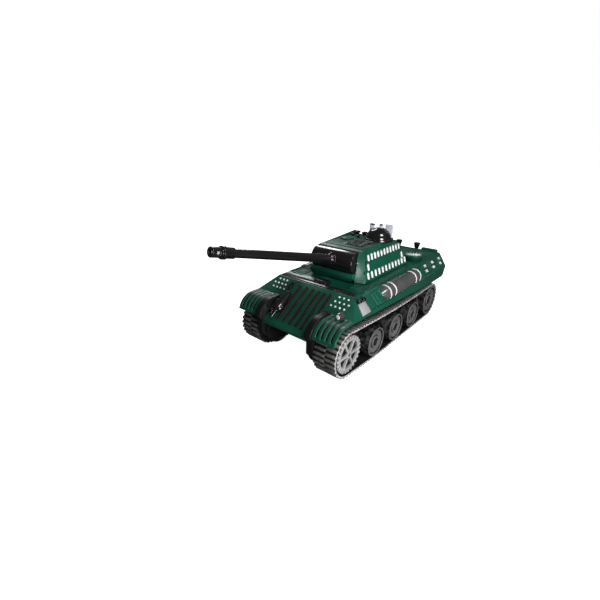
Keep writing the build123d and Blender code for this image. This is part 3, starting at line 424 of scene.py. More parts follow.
def placed_group(tree, name, maker, **values):
    """A group node in a material, the group being made once."""
    node = tree.nodes.new("ShaderNodeGroup")
    node.node_tree = bpy.data.node_groups.get(name) or maker()
    for label, value in values.items():
        node.inputs[label.replace("_", " ")].default_value = value
    return node


def blended(tree, a, b, share):
    """Colour a turned towards b by share; each is a colour or a socket."""
    node = tree.nodes.new("ShaderNodeMix")
    node.data_type = "RGBA"
    for label, value in (("Factor", share), ("A", a), ("B", b)):
        socket = next(s for s in node.inputs if s.name == label and s.enabled)
        if isinstance(value, bpy.types.NodeSocket):
            wire(tree, value, socket)
        elif isinstance(value, (int, float)):
            socket.default_value = value
        else:
            socket.default_value = (*value, 1.0)
    return next(s for s in node.outputs if s.enabled)


def new_material(name):
    """A material with only its output and one Principled shader."""
    material = bpy.data.materials.new(name)
    material.use_nodes = True
    tree = material.node_tree
    tree.nodes.clear()
    output = tree.nodes.new("ShaderNodeOutputMaterial")
    shader = tree.nodes.new("ShaderNodeBsdfPrincipled")
    wire(tree, shader.outputs["BSDF"], output.inputs["Surface"])
    return material, tree, shader


def bumped(tree, shader, height, normal, strength, distance):
    """Gives the shader a normal with a height's bump laid over it."""
    bump = tree.nodes.new("ShaderNodeBump")
    bump.inputs["Strength"].default_value = strength
    bump.inputs["Distance"].default_value = distance
    wire(tree, height, bump.inputs["Height"])
    wire(tree, normal, bump.inputs["Normal"])
    wire(tree, bump.outputs["Normal"], shader.inputs["Normal"])


def moulded(name, base, edge, gloss=(0.22, 0.36), coat=0.0, edge_share=0.6, dust=0.25, grain=0.15,
            reach=0.0005, worn=None, shine=0.5):
    """Moulded plastic: base colour with flow mottle, a painted highlight on the edges, dust and fine grain.
    gloss is the least and most roughness, shine the specular level; the last colour is laid on by
    the points' marking attribute, as painted highlight, painted shade and a tyre's own black."""
    material, tree, shader = new_material(name)
    surface_group = placed_group(tree, "Moulded surface", moulded_group)
    edges = placed_group(tree, "Painted edge highlight", edge_highlight_group, Reach=reach)
    dusty = placed_group(tree, "Settled dust", dust_group, Amount=dust)
    deep = tuple(0.78 * c for c in base)
    tint = blended(tree, deep, base, surface_group.outputs["Mottle"])
    # Colour by the points' attribute: painted highlight on track cleats and roof slats, painted shade in wheel
    # hollows, and a wheel tyre's own black.
    if worn:
        attribute = tree.nodes.new("ShaderNodeAttribute")
        attribute.attribute_name = "tone_and_painted_light"
        painted_light_and_tone = maths(tree, "MULTIPLY", attribute.outputs["Fac"],
                       ramped(tree, noise(tree, 260.0, 4.0), 0.25, 0.6, 0.35, 1.0))
        tint = blended(tree, tint, worn, painted_light_and_tone)
    # Edges turned towards the edge colour: a painted highlight.
    tint = blended(tree, tint, edge, maths(tree, "MULTIPLY", edges.outputs["Mask"], edge_share))
    tint = blended(tree, tint, (0.34, 0.34, 0.32),
                   maths(tree, "MULTIPLY", dusty.outputs["Mask"], 0.35))
    wire(tree, tint, shader.inputs["Base Color"])
    rough = ramped(tree, surface_group.outputs["Mottle"], 0.0, 1.0, gloss[0], gloss[1])
    dusty_rough = maths(tree, "MULTIPLY", dusty.outputs["Mask"], 0.3)
    wire(tree, maths(tree, "ADD", rough, dusty_rough, clamp=True), shader.inputs["Roughness"])
    bumped(tree, shader, surface_group.outputs["Height"], edges.outputs["Normal"], grain, 0.00006)
    shader.inputs["Specular IOR Level"].default_value = shine
    shader.inputs["Coat Weight"].default_value = coat
    shader.inputs["Coat Roughness"].default_value = 0.08
    return material


def machined(name, base, rough=(0.18, 0.38)):
    """Bare metal with fine drawn lines in lighter and darker streaks, and its edges lightened as a painted
    highlight.
    """
    material, tree, shader = new_material(name)
    lines = noise(tree, 900.0, 2.0, stretch=(0.06, 1.0, 1.0))
    edges = placed_group(tree, "Painted edge highlight", edge_highlight_group, Reach=0.0003)
    tint = blended(tree, tuple(0.7 * c for c in base), base, ramped(tree, lines, 0.35, 0.65))
    # Edges turned lighter: a painted highlight.
    wire(tree, blended(tree, tint, tuple(min(1.0, 1.25 * c) for c in base), edges.outputs["Mask"]),
         shader.inputs["Base Color"])
    wire(tree, ramped(tree, lines, 0.3, 0.7, rough[0], rough[1]), shader.inputs["Roughness"])
    shader.inputs["Metallic"].default_value = 1.0
    bumped(tree, shader, lines, edges.outputs["Normal"], 0.12, 0.00004)
    return material


def clear_plastic(name, base):
    """Clear moulded plastic with faint haze and a painted highlight on its edges."""
    material, tree, shader = new_material(name)
    surface_group = placed_group(tree, "Moulded surface", moulded_group)
    edges = placed_group(tree, "Painted edge highlight", edge_highlight_group, Reach=0.0004)
    # Edges turned towards white: a painted highlight.
    wire(tree, blended(tree, base, (0.95, 0.96, 1.0), edges.outputs["Mask"]),
         shader.inputs["Base Color"])
    wire(tree, ramped(tree, surface_group.outputs["Mottle"], 0.0, 1.0, 0.05, 0.16),
         shader.inputs["Roughness"])
    shader.inputs["Transmission Weight"].default_value = 0.35
    shader.inputs["IOR"].default_value = 1.46
    return material


def finish(slot):
    """The material of a record slot, made the first time it is asked for."""
    made = bpy.data.materials.get("finish_" + slot)
    if made:
        return made
    c = bpy.context.scene.toy_tank_colours
    name = "finish_" + slot
    # In each entry, edge is the colour of the finish's painted edge highlight.
    plain = {
        "hull_green": dict(base=c.body, edge=c.body_edge_highlight, gloss=(0.32, 0.46), coat=0.08,
                           edge_share=0.6, dust=0.02, shine=0.28),
        "hull_black": dict(base=c.black, edge=(0.13, 0.13, 0.125), gloss=(0.34, 0.5),
                           dust=0.02, reach=0.0006, shine=0.2),
        "bar_brown": dict(base=c.brown, edge=(0.24, 0.05, 0.03), gloss=(0.34, 0.46),
                          edge_share=0.8, dust=0.0, shine=0.25),
        "stud_white": dict(base=c.white, edge=(0.9, 0.92, 0.9), gloss=(0.35, 0.5), dust=0.1),
        "lamp_chrome": dict(base=c.lamp, edge=(0.4, 0.38, 0.37), gloss=(0.10, 0.18), coat=0.8,
                            dust=0.1),
        "gun_black": dict(base=c.gun, edge=(0.26, 0.26, 0.27), gloss=(0.17, 0.25), coat=0.25,
                          dust=0.0, grain=0.015, shine=0.6),
        # The trim's pale tint is a painted highlight along the roof slats' upper edges.
        "trim_dark": dict(base=c.trim, edge=(0.22, 0.21, 0.21), gloss=(0.22, 0.36),
                          edge_share=0.9, dust=0.0, worn=(0.75, 0.77, 0.77), shine=0.35),
        "tube_grey": dict(base=c.tube, edge=(0.24, 0.24, 0.25), gloss=(0.20, 0.30), coat=0.5,
                          dust=0.1),
        # The track's tint is the painted highlight on its cleats and outer edge.
        "track_rubber": dict(base=c.rubber, edge=(0.12, 0.115, 0.11), gloss=(0.40, 0.56),
                             worn=c.rubber_highlight, grain=0.3, dust=0.02, shine=0.25),
        # The wheel's black tint is its tyre's own colour and, as painted shade, the colour of its groove, hub ring
        # and deeper hollows.
        "wheel_grey": dict(base=c.wheel, edge=(0.34, 0.34, 0.33), gloss=(0.30, 0.44), dust=0.05,
                           worn=(0.004, 0.004, 0.0045), shine=0.3),
        "sprocket_silver": dict(base=c.sprocket, edge=(0.75, 0.75, 0.74), gloss=(0.26, 0.40),
                                coat=0.2, dust=0.05),
        "gear_nylon": dict(base=(0.72, 0.71, 0.66), edge=(0.85, 0.84, 0.8), gloss=(0.35, 0.5)),
        "cell_jacket": dict(base=(0.05, 0.06, 0.08), edge=(0.2, 0.2, 0.22), gloss=(0.18, 0.28),
                            coat=0.4),
        "board_green": dict(base=(0.01, 0.10, 0.04), edge=(0.10, 0.25, 0.12), gloss=(0.25, 0.4)),
    }
    if slot in plain:
        values = plain[slot]
        for key in {"base", "edge", "worn"} & values.keys():
            values[key] = tuple(values[key])
        return moulded(name, **values)
    if slot == "prism_clear":
        return clear_plastic(name, tuple(c.clear))
    if slot == "pinion_brass":
        return machined(name, (0.72, 0.52, 0.22))
    return machined(name, (0.56, 0.56, 0.57))


# ---- measures read from the frame -----------------------------------------------------
def centre_and_radius(node):
    """X, Z and radius of a round node that turns about Y."""
    low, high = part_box(node)
    return (low.x + high.x) / 2, (low.z + high.z) / 2, (high.z - low.z) / 2


def circle_arc(a, b, c, count):
    """Points on the circle through a, b and c, from a to c by way of b."""
    (ax, ay), (bx, by), (cx, cy) = a, b, c
    d = 2 * (ax * (by - cy) + bx * (cy - ay) + cx * (ay - by))
    sa, sb, sc = ax * ax + ay * ay, bx * bx + by * by, cx * cx + cy * cy
    ox = (sa * (by - cy) + sb * (cy - ay) + sc * (ay - by)) / d
    oy = (sa * (cx - bx) + sb * (ax - cx) + sc * (bx - ax)) / d
    angles = np.unwrap([atan2(ay - oy, ax - ox), atan2(by - oy, bx - ox), atan2(cy - oy, cx - ox)])
    t = np.linspace(angles[0], angles[2], count)
    r = hypot(ax - ox, ay - oy)
    return np.stack([ox + r * np.cos(t), oy + r * np.sin(t)], -1)


def track_path(grow, count):
    """The closed line of the track, grow outside its inner face, at count equal steps from
    under the idler: straight along the ground, round the first wheel, up to the sprocket,
    round it, back along a sagging arc and round the idler.  Gives points and unit tangents."""
    s = bpy.context.scene.toy_tank_sizes
    wx, wz, wr = centre_and_radius("road_wheel_1_left")
    ix, iz, ir = centre_and_radius("idler_left")
    sx, sz, sr = centre_and_radius("sprocket_left")
    wr, ir, sr = wr + s.loop_gap + grow, ir + s.loop_gap + grow, sr + s.loop_gap + grow
    turn = atan2(sz - wz, sx - wx) + asin((wr - sr) / hypot(sx - wx, sz - wz)) - pi / 2
    leave = (wx + wr * cos(turn), wz + wr * sin(turn))
    meet = (sx + sr * cos(turn), sz + sr * sin(turn))
    half = (turn - pi / 2) / 2
    nose = (turn + pi / 2) / 2
    top_front, top_rear = (sx, sz + sr), (ix, iz + ir)
    middle = ((sx + ix) / 2, (top_front[1] + top_rear[1]) / 2 - s.sag)
    line = np.vstack([
        np.linspace((ix, iz - ir), (wx, wz - wr), 200, endpoint=False),
        circle_arc((wx, wz - wr), (wx + wr * cos(half), wz + wr * sin(half)), leave, 60)[:-1],
        np.linspace(leave, meet, 100, endpoint=False),
        circle_arc(meet, (sx + sr * cos(nose), sz + sr * sin(nose)), top_front, 160)[:-1],
        circle_arc(top_front, middle, top_rear, 300)[:-1],
        circle_arc(top_rear, (ix - ir, iz), (ix, iz - ir), 160),
    ])
    run = np.concatenate([[0.0], np.cumsum(np.linalg.norm(np.diff(line, axis=0), axis=1))])
    at = np.linspace(0.0, run[-1], count, endpoint=False)
    points = np.stack([np.interp(at, run, line[:, 0]), np.interp(at, run, line[:, 1])], -1)
    ahead = np.roll(points, -1, 0) - np.roll(points, 1, 0)
    return points, ahead / np.linalg.norm(ahead, axis=1, keepdims=True)


# ---- pieces ---------------------------------------------------------------------------
def make_track(side, sign):
    """The band is a flat section carried round the loop, thinner at each link's hinge; the
    cleats are trapezoid bars with softened ends in two staggered columns."""
    s = bpy.context.scene.toy_tank_sizes
    low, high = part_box("track_left")
    inner, outer = low.y, high.y
    steps = LINK_STEPS * s.links
    points, tangent = track_path(s.band / 2, steps)
    centres = np.stack([points[:, 0], np.zeros(steps), points[:, 1]], -1)
    out = np.stack([tangent[:, 1], np.zeros(steps), -tangent[:, 0]], -1)
    across = np.broadcast_to((0.0, 1.0, 0.0), (steps, 3))
    half = s.band / 2
    edge = 0.25 * MM
    left, right = inner + 0.1 * MM, outer - 0.1 * MM
    flat = rounded([(left, -half), (right, -half), (right, half), (left, half)], edge, 3)
    hinge = 0.5 + 0.5 * np.cos(2 * pi * np.arange(steps) / LINK_STEPS)
    section = np.broadcast_to(flat, (steps,) + flat.shape).copy()
    section[..., 1] *= (1.0 - 0.30 * hinge)[:, None]
    band = carried(section, centres, across, out)
    # Painted highlight along the outer edge of the band.
    outer_edge_highlight = np.where(flat[:, 0] > outer - 0.2 * MM, 1.0, 0.0)
    shells, tone_and_painted_light = [(mirrored(band, sign), True)], [outer_edge_highlight]
    middle = (inner + outer) / 2
    many, along = track_path(s.band, CLEAT_STEPS * s.links)
    h = s.cleat
    bar = np.array([(-1.5 * MM, -0.3 * MM), (-1.45 * MM, 0.25 * h), (-1.0 * MM, 0.93 * h),
                    (-0.75 * MM, h), (0.75 * MM, h), (1.0 * MM, 0.93 * h), (1.45 * MM, 0.25 * h),
                    (1.5 * MM, -0.3 * MM)])
    for phase, y_low, y_high, end_highlight in ((0.35, inner, middle - 0.12 * MM, 0.3),
                                           (0.85, middle + 0.12 * MM, outer, 1.0)):
        at = ((np.arange(s.links) + phase) * CLEAT_STEPS).astype(int) % (CLEAT_STEPS * s.links)
        origin = np.stack([many[at, 0], np.zeros(s.links), many[at, 1]], -1)
        forward = np.stack([along[at, 0], np.zeros(s.links), along[at, 1]], -1)
        outward = np.stack([along[at, 1], np.zeros(s.links), -along[at, 0]], -1)
        ends = np.array([(y_low, 0.80), (y_low + 0.3 * MM, 1.0), (y_high - 0.3 * MM, 1.0),
                         (y_high, 0.80)])
        u = bar[None, None, :, 0] * ends[None, :, None, 1] ** 0.5
        v = bar[None, None, :, 1] * ends[None, :, None, 1] ** 0.3
        rings = (origin[:, None, None] + u[..., None] * forward[:, None, None]
                 + v[..., None] * outward[:, None, None])
        rings[..., 1] += ends[None, :, None, 0]
        shells.append((mirrored(rings, sign), False))
        # Painted highlight on the cleats: stronger towards their tops, and at one end of each cleat, most on the
        # outer column.
        high_part = np.clip((bar[:, 1] / h - 0.3) / 0.6, 0.0, 1.0)
        across_highlight = np.array([0.12, 0.26, 0.26, 0.0])[:, None]
        top_highlight = (0.4 + 0.6 * high_part)[None, :] * across_highlight
        tone_and_painted_light.append(top_highlight + np.array([0.0, 0.0, 0.0, end_highlight])[:, None])
    track = surface("track_run_" + side, shells, tone_and_painted_light)
    stand_for(track, "track_" + side)


def make_wheel(node, sign):
    """A turned dish: round tyre, deep groove, shallow dish, and a raised hub ring with small bolts.
    The tyre and the wheel's back take the tyre's own black; the groove, a ring round the hub and the
    deepest hollows are darkened as painted shade."""
    x, z, r = centre_and_radius(node)
    low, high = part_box(node)
    face = max(abs(low.y), abs(high.y))
    back = min(abs(low.y), abs(high.y))
    scale = r / WHEEL_R
    profile = np.array([
        (1.68, -20.9), (14.4, -20.9), (14.4, -0.7), (14.1, -0.15), (13.0, 0.0), (12.5, -0.4),
        (12.3, -3.2), (11.3, -3.2), (11.1, -1.1), (10.5, -0.8), (8.7, -1.5), (6.7, -1.9),
        (6.3, -2.7), (5.7, -2.7), (5.4, -1.0), (4.4, -0.7), (4.0, -1.2), (3.7, -2.4),
        (1.68, -2.4)]) * MM
    profile[:, 0] = np.where(profile[:, 0] > 1.7 * MM, profile[:, 0] * scale, profile[:, 0])
    profile[:2, 1] = back - face
    ring = rounded(profile, 0.28 * MM, 4)
    far, deep = ring[:, 0] / (MM * scale), ring[:, 1] / MM
    # Black on the tyre is its own colour; in the groove, the ring round the hub and the deepest hollows it is
    # painted shade.
    dark = ((far > 14.15) | (deep < -2.2) | ((far > 11.2) & (far < 12.55))
            | ((far > 3.5) & (far < 4.2)))
    ring[:, 1] += face
    body = about_y(turned(ring, 96), x, z)
    shells = [(mirrored(body, sign), True)]
    tone_and_painted_light = [dark[None, :, None].astype(float)]
    bolt = rounded([(0.08 * MM, 0.0), (0.62 * MM, 0.0), (0.62 * MM, 0.35 * MM),
                    (0.08 * MM, 0.42 * MM)], 0.12 * MM, 3, closed=False)
    for a in np.arange(HUB_BOLTS) * 2 * pi / HUB_BOLTS:
        spot = about_y(turned(bolt + (0.0, face - 0.95 * MM), 12),
                       x + 4.95 * MM * scale * cos(a), z + 4.95 * MM * scale * sin(a))
        shells.append((mirrored(spot, sign), False))
        tone_and_painted_light.append(0.0)
    wheel = surface(node + "_dish", shells, tone_and_painted_light)
    stand_for(wheel, node)


def make_sprocket(side, sign):
    """The rim's outer radius rises to a tooth as clip(0.5 + 1.6 cos 24 t); six tapered
    spokes run out to it from a recessed hub, with a flanged black drum behind."""
    x, z, flange = centre_and_radius("sprocket_" + side)
    r = bpy.context.scene.toy_tank_sizes.sprocket_r
    face = max(abs(v.y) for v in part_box("sprocket_" + side))
    t = np.linspace(0.0, 2 * pi, 240, endpoint=False)
    tooth = np.clip(0.5 + 1.6 * np.cos(TEETH * t), 0.0, 1.0)
    ring = rounded([(RIM_INNER, -2.5 * MM), (TOOTH_ROOT, -2.5 * MM), (TOOTH_ROOT, 0.0),
                    (RIM_INNER, 0.0)], 0.3 * MM, 4)
    share = np.clip((ring[:, :1] - 13.3 * MM) / (1.5 * MM), 0.0, 1.0)
    radius = ring[:, :1] + share * tooth * (r - TOOTH_ROOT)
    rim = np.stack([radius * np.cos(t), radius * np.sin(t), ring[:, 1:2] + face + 0 * t], -1)[None]
    shells = [(mirrored(about_y(rim, x, z), sign), True)]
    along = np.linspace(3.0 * MM, 13.6 * MM, 6)
    width = 0.85 * MM + 0.5 * MM * (np.clip(along / MM - 9.0, 0.0, 3.8) / 3.8) ** 2
    corner = rounded([(-1, -2.3 * MM), (1, -2.3 * MM), (1, -0.15 * MM), (-1, -0.15 * MM)],
                     (0.0, 0.0, 0.35 * MM, 0.35 * MM), 3)
    for a in np.arange(SPOKES) * 2 * pi / SPOKES:
        u = np.clip(corner[:, 0], -1, 1)[None] * width[:, None]
        rings = np.stack([along[:, None] + 0 * u, u, corner[None, :, 1] + face + 0 * u], -1)[None]
        spun = rings @ np.array([[cos(a), sin(a), 0], [-sin(a), cos(a), 0], [0, 0, 1]])
        shells.append((mirrored(about_y(spun, x, z), sign), False))
    hub = rounded([(0.2 * MM, -2.4 * MM), (3.2 * MM, -2.4 * MM), (3.2 * MM, 0.0),
                   (2.4 * MM, 0.0), (2.2 * MM, -0.5 * MM), (0.2 * MM, -0.5 * MM)],
                  0.3 * MM, 4, closed=False)
    shells.append((mirrored(about_y(turned(hub + (0.0, face), 48), x, z), sign), False))
    sprocket = surface("sprocket_face_" + side, shells)
    stand_for(sprocket, "sprocket_" + side)
    edge = flange / MM
    drum = rounded([(1.55, 34.0), (edge, 34.0), (edge, 36.3), (9.0, 37.4), (9.0, 50.5),
                    (edge, 51.7), (edge, 53.3), (1.55, 53.3)], 0.3, 3) * MM
    drum = mirrored(about_y(turned(drum, 72), x, z), sign)
    barrel = surface("sprocket_drum_" + side, [(drum, True)], angle=35.0)
    add_to(barrel, NODE_BODY["sprocket_" + side], "hull_black")


def gun_axes():
    """Trunnion point and the gun's own axes: forward along the barrel, left, and up."""
    angle = bpy.context.scene.toy_tank_sizes.gun_angle
    origin = PIVOT["gun_elevation"]
    return origin, (cos(angle), 0, sin(angle)), (0, 1, 0), (-sin(angle), 0, cos(angle))


def make_gun():
    """Barrel turned about the gun's axis: root collar with a groove, then a slow taper."""
    origin, forward, left, up = gun_axes()
    outer = rounded([(2.1, 7.0), (3.9, 7.0), (3.95, 10.7), (5.0, 10.75), (5.0, 11.9),
                     (4.65, 12.0), (4.65, 12.5), (5.0, 12.6), (4.95, 13.6), (4.05, 14.3),
                     (3.98, 40.0), (3.2, 128.4), (2.1, 128.4)], 0.3, 4) * MM
    rings = placed(turned(outer, 72), origin, left, up, forward)
    barrel = surface("gun_tube", [(rings, True)])
    stand_for(barrel, "gun_barrel")


def make_mantlet():
    """A round-fronted bar across the turret: the section is an arc closed by a flat back,
    carried along Y and drawn in a little over its last 0.7 mm at each end, with a turned
    collar where the barrel comes out."""
    origin, forward, left, up = gun_axes()
    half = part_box("mantlet")[1].y
    r = MANTLET_R
    t = np.linspace(-MANTLET_HALF_ARC, MANTLET_HALF_ARC, 64)
    back = cos(MANTLET_HALF_ARC) * r
    arc = np.stack([r * np.cos(t), r * np.sin(t)], -1)
    lip = np.array([(back, arc[-1, 1] - 0.6 * MM), (back, -arc[-1, 1] + 0.6 * MM)])
    section = np.vstack([arc, lip])
    shrink = np.array([(-half, 0.55), (-half + 0.05 * MM, 0.28), (-half + 0.25 * MM, 0.1),
                       (-half + 0.7 * MM, 0.0)])
    ends = np.vstack([shrink, shrink[::-1] * (-1, 1)])
    size = 1.0 - ends[:, 1] * MM / r
    centres = np.asarray(origin) + ends[:, :1] * np.asarray(left, float)
    shape = section[None, :, :1] * np.asarray(forward) + section[None, :, 1:] * np.asarray(up)
    rings = (centres[:, None] + size[:, None, None] * shape)[None]
    shells = [(rings, False)]
    cap = rounded([(0.3, 10.2), (6.0, 10.2), (6.1, 10.55), (5.6, 11.0), (0.3, 11.0)], 0.25, 4,
                  closed=False) * MM
    shells.append((placed(turned(cap, 64), origin, left, up, forward), False))
    shield = surface("mantlet_shield", shells)
    stand_for(shield, "mantlet")


def make_cupola():
    """Turned ring, groove and dome, with small studs round the ring."""
    low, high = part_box("cupola")
    x, y = (low.x + high.x) / 2, (low.y + high.y) / 2
    r = (high.x - low.x) / 2
    dome = np.linspace(0.0, radians(88.0), 18)
    rim = high.z - DOME_RISE
    curve = np.stack([(r - 2.0 * MM) * np.cos(dome), rim + DOME_RISE * np.sin(dome)], -1)
    foot = np.array([(r, low.z), (r, rim - 0.8 * MM), (r - 0.7 * MM, rim), (r - 1.2 * MM, rim),
                     (r - 1.5 * MM, rim - 0.5 * MM), (r - 1.9 * MM, rim - 0.4 * MM)])
    foot = rounded(np.vstack([[(0.3 * MM, low.z)], foot, curve[:1]]), 0.25 * MM, 4, closed=False)
    rings = placed(turned(np.vstack([foot, curve[1:]]), 96), (x, y, 0), *UPRIGHT)
    shells = [(rings, False)]
    stud = rounded([(0.08, 0.0), (0.55, 0.0), (0.5, 0.35), (0.08, 0.45)], 0.12, 3,
                   closed=False) * MM
    for a in np.arange(RING_STUDS) * 2 * pi / RING_STUDS + 0.2:
        spot = (x + (r - 0.75 * MM) * cos(a), y + (r - 0.75 * MM) * sin(a), rim - 0.25 * MM)
        shells.append((placed(turned(stud, 10), spot, *UPRIGHT), False))
    dome = surface("cupola_dome", shells)
    stand_for(dome, "cupola")


def make_tubes():
    """Stowage tube turned about its own X axis: a rounded tail, a lipped body and a cone in
    front; its bands are separate white rings."""
    low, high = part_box("stowage_tubes")
    r = TUBE_R
    y, z = high.y - r - 0.25 * MM, TUBE_Z
    tail, nose = low.x, high.x
    body = rounded([(0.4 * MM, tail), (r - 0.5 * MM, tail), (r, tail + 0.8 * MM),
                    (r, nose - 7.4 * MM), (r - 0.4 * MM, nose - 7.3 * MM),
                    (r - 0.4 * MM, nose - 6.9 * MM), (r - 0.15 * MM, nose - 6.7 * MM),
                    (3.4 * MM, nose), (0.4 * MM, nose)], 0.35 * MM, 4, closed=False)
    axes = ((0, 1, 0), (0, 0, 1), (1, 0, 0))
    turned_body = placed(turned(body, 64), (0, y, z), *axes)
    tubes = surface("stowage_tube_bodies", on_both(turned_body, False))
    stand_for(tubes, "stowage_tubes")
    shells = []
    strap = rounded([(7.6, -0.95), (8.13, -0.95), (8.13, 0.95), (7.6, 0.95)], 0.2, 4) * MM
    for x in STRAPS:
        ring = placed(turned(strap + (0.0, nose - (9.0 + x - 2.0) * MM), 64), (0, y, z), *axes)
        shells += on_both(ring, True)
    bands = surface("stowage_tube_bands", shells)
    add_to(bands, "hull", "stud_white")


def make_fans():
    """Turned bowls with a rolled rim and a collar, and white grilles of leaning blades round
    a domed hub."""
    low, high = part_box("fan_housings")
    x, y = (low.x + high.x) / 2, high.y - (high.x - low.x) / 2
    r, z, top = (high.x - low.x) / 2, low.z, high.z
    wall = rounded([(0.4 * MM, z), (r - 2.7 * MM, z), (r - 2.4 * MM, z + 0.9 * MM),
                    (r - 0.9 * MM, top - 1.6 * MM), (r, top - 1.3 * MM), (r, top),
                    (r - 1.7 * MM, top), (r - 1.9 * MM, top - 1.7 * MM),
                    (0.4 * MM, top - 1.7 * MM)], 0.3 * MM, 4, closed=False)
    bowl = placed(turned(wall, 72), (x, y, 0), *UPRIGHT)
    low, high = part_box("fan_grilles")
    z, top = low.z, high.z
    rim = rounded([(9.0 * MM, z), (9.93 * MM, z), (9.93 * MM, top), (9.0 * MM, top)],
                  0.25 * MM, 4)
    collar = placed(turned(rim, 72), (x, y, 0), *UPRIGHT)
    bowls = surface("fan_bowls", on_both(bowl, False) + on_both(collar, True))
    stand_for(bowls, "fan_housings")
    hub = rounded([(0.15 * MM, z), (2.3 * MM, z), (2.3 * MM, top - 0.3 * MM), (0.15 * MM, top)],
                  0.4 * MM, 4, closed=False)
    shells = on_both(placed(turned(hub, 32), (x, y, 0), *UPRIGHT), False)
    span = np.linspace(2.0 * MM, 9.2 * MM, 5)
    blade = rounded([(-0.42, -0.3), (0.42, -0.3), (0.42, 0.3), (-0.42, 0.3)], 0.15, 3) * MM
    lean = BLADE_LEAN + 0 * span
    for a in np.arange(FAN_BLADES) * 2 * pi / FAN_BLADES:
        out = np.array([cos(a), sin(a), 0.0])
        side = np.array([-sin(a), cos(a), 0.0])
        wide = np.cos(lean)[:, None] * side + np.sin(lean)[:, None] * (0, 0, 1)
        thick = -np.sin(lean)[:, None] * side + np.cos(lean)[:, None] * (0, 0, 1)
        centres = np.array([x, y, (z + top) / 2]) + span[:, None] * out
        rings = carried(blade, centres, wide, thick)
        shells += on_both(rings, False)
    grilles = surface("fan_louvres", shells)
    stand_for(grilles, "fan_grilles")


def make_fender_strips():
    """Dark strips lying in the fender grooves: a low rounded section carried level and then
    over the fender's arc."""
    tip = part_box("upper_hull")[1].x - 0.9 * MM
    start = np.array([(104.2 * MM + TANK_X, 53.6 * MM)])
    arc = circle_arc((112.0 * MM + TANK_X, 53.6 * MM), (124.3 * MM + TANK_X, 49.6 * MM),
                     (tip, 41.3 * MM), 40)
    keep = arc[:, 1] > 44.6 * MM
    line = np.vstack([np.linspace(start[0], arc[0], 6, endpoint=False), arc[keep]])
    ahead = np.gradient(line, axis=0)
    ahead /= np.linalg.norm(ahead, axis=1, keepdims=True)
    n = len(line)
    outward = np.stack([-ahead[:, 1], np.zeros(n), ahead[:, 0]], -1)
    across = np.broadcast_to((0.0, 1.0, 0.0), (n, 3))
    bar = rounded([(-1.05, -0.3), (1.05, -0.3), (0.88, 0.55), (-0.88, 0.55)], 0.22, 4) * MM
    ease = np.clip(np.minimum(np.arange(n), np.arange(n)[::-1]) / 2.0, 0.0, 1.0) ** 0.5
    section = bar[None] * (0.35 + 0.65 * ease)[:, None, None]
    shells = []
    for y in GROOVES:
        centres = np.stack([line[:, 0], np.full(n, y * MM), line[:, 1]], -1)
        rings = carried(section, centres, across, outward)
        shells += on_both(rings, False)
    strips = surface("fender_strips", shells)
    add_to(strips, "hull", "bar_brown")


def make_periscopes():
    """Three upright prisms with softened corners, drawn in a little towards the top, and
    small caps on two of them."""
    low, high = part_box("cupola")
    x0, y0 = (low.x + high.x) / 2, (low.y + high.y) / 2
    foot, top = high.z - 9.5 * MM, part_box("cupola_periscopes")[1].z
    prisms, caps = [], {"bar_brown": [], "gun_black": []}
    for dx, dy, width, cap in ((1.6, -8.0, 5.2, "bar_brown"), (-1.4, 0.7, 3.4, "gun_black"),
                               (-4.0, 8.9, 8.4, None)):
        u, v = 1.25 * MM, width / 2 * MM - 0.05 * MM
        outline = rounded([(-u, -v), (u, -v), (u, v), (-u, v)], 0.4 * MM, 4)
        head = top - (1.3 * MM if cap else 0.0)
        centre = np.array([x0 + dx * MM, y0 + dy * MM])
        rings = stacked(outline, centre, (1.0, 0.97, 0.90), (foot, head - 0.3 * MM, head))
        prisms.append((rings, False))
        if cap:
            rings = stacked(outline, centre, (0.92, 1.02, 1.02, 0.85),
                            (head, head + 0.2 * MM, top - 0.25 * MM, top))
            caps[cap].append((rings, False))
    stand_for(surface("periscope_prisms", prisms), "cupola_periscopes")
    for slot, shells in caps.items():
        add_to(surface("periscope_caps_" + slot, shells), "turret", slot)


def make_roof_hatch():
    """A turned round hatch with a groove and raised middle, and four mushroom caps."""
    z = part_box("roof_fittings")[0].z
    lid = rounded([(0.2, 0.0), (7.2, 0.0), (7.2, 0.9), (6.5, 1.5), (5.9, 1.5), (5.7, 1.2),
                   (5.4, 1.2), (5.1, 1.6), (0.2, 1.9)], 0.2, 4, closed=False) * MM
    hatch = placed(turned(lid, 64), (14.0 * MM + TANK_X, -14.0 * MM, z), *UPRIGHT)
    stand_for(surface("roof_hatch", [(hatch, False)]), "roof_fittings", "hull_green")
    dome = rounded([(0.1, 0.0), (1.5, 0.0), (1.5, 0.9), (2.7, 1.3), (2.6, 2.1), (1.6, 2.8),
                    (0.1, 2.9)], 0.35, 4, closed=False) * MM
    shells = [(placed(turned(dome * size, 32), (x * MM + TANK_X, y * MM, z), *UPRIGHT), False)
              for x, y, size in ((-4.5, -18.5, 1.0), (0.5, -8.5, 1.0),
                                 (-13.6, -9.2, 1.3), (-13.8, -18.4, 1.3))]
    add_to(surface("roof_caps", shells), "turret", "trim_dark")


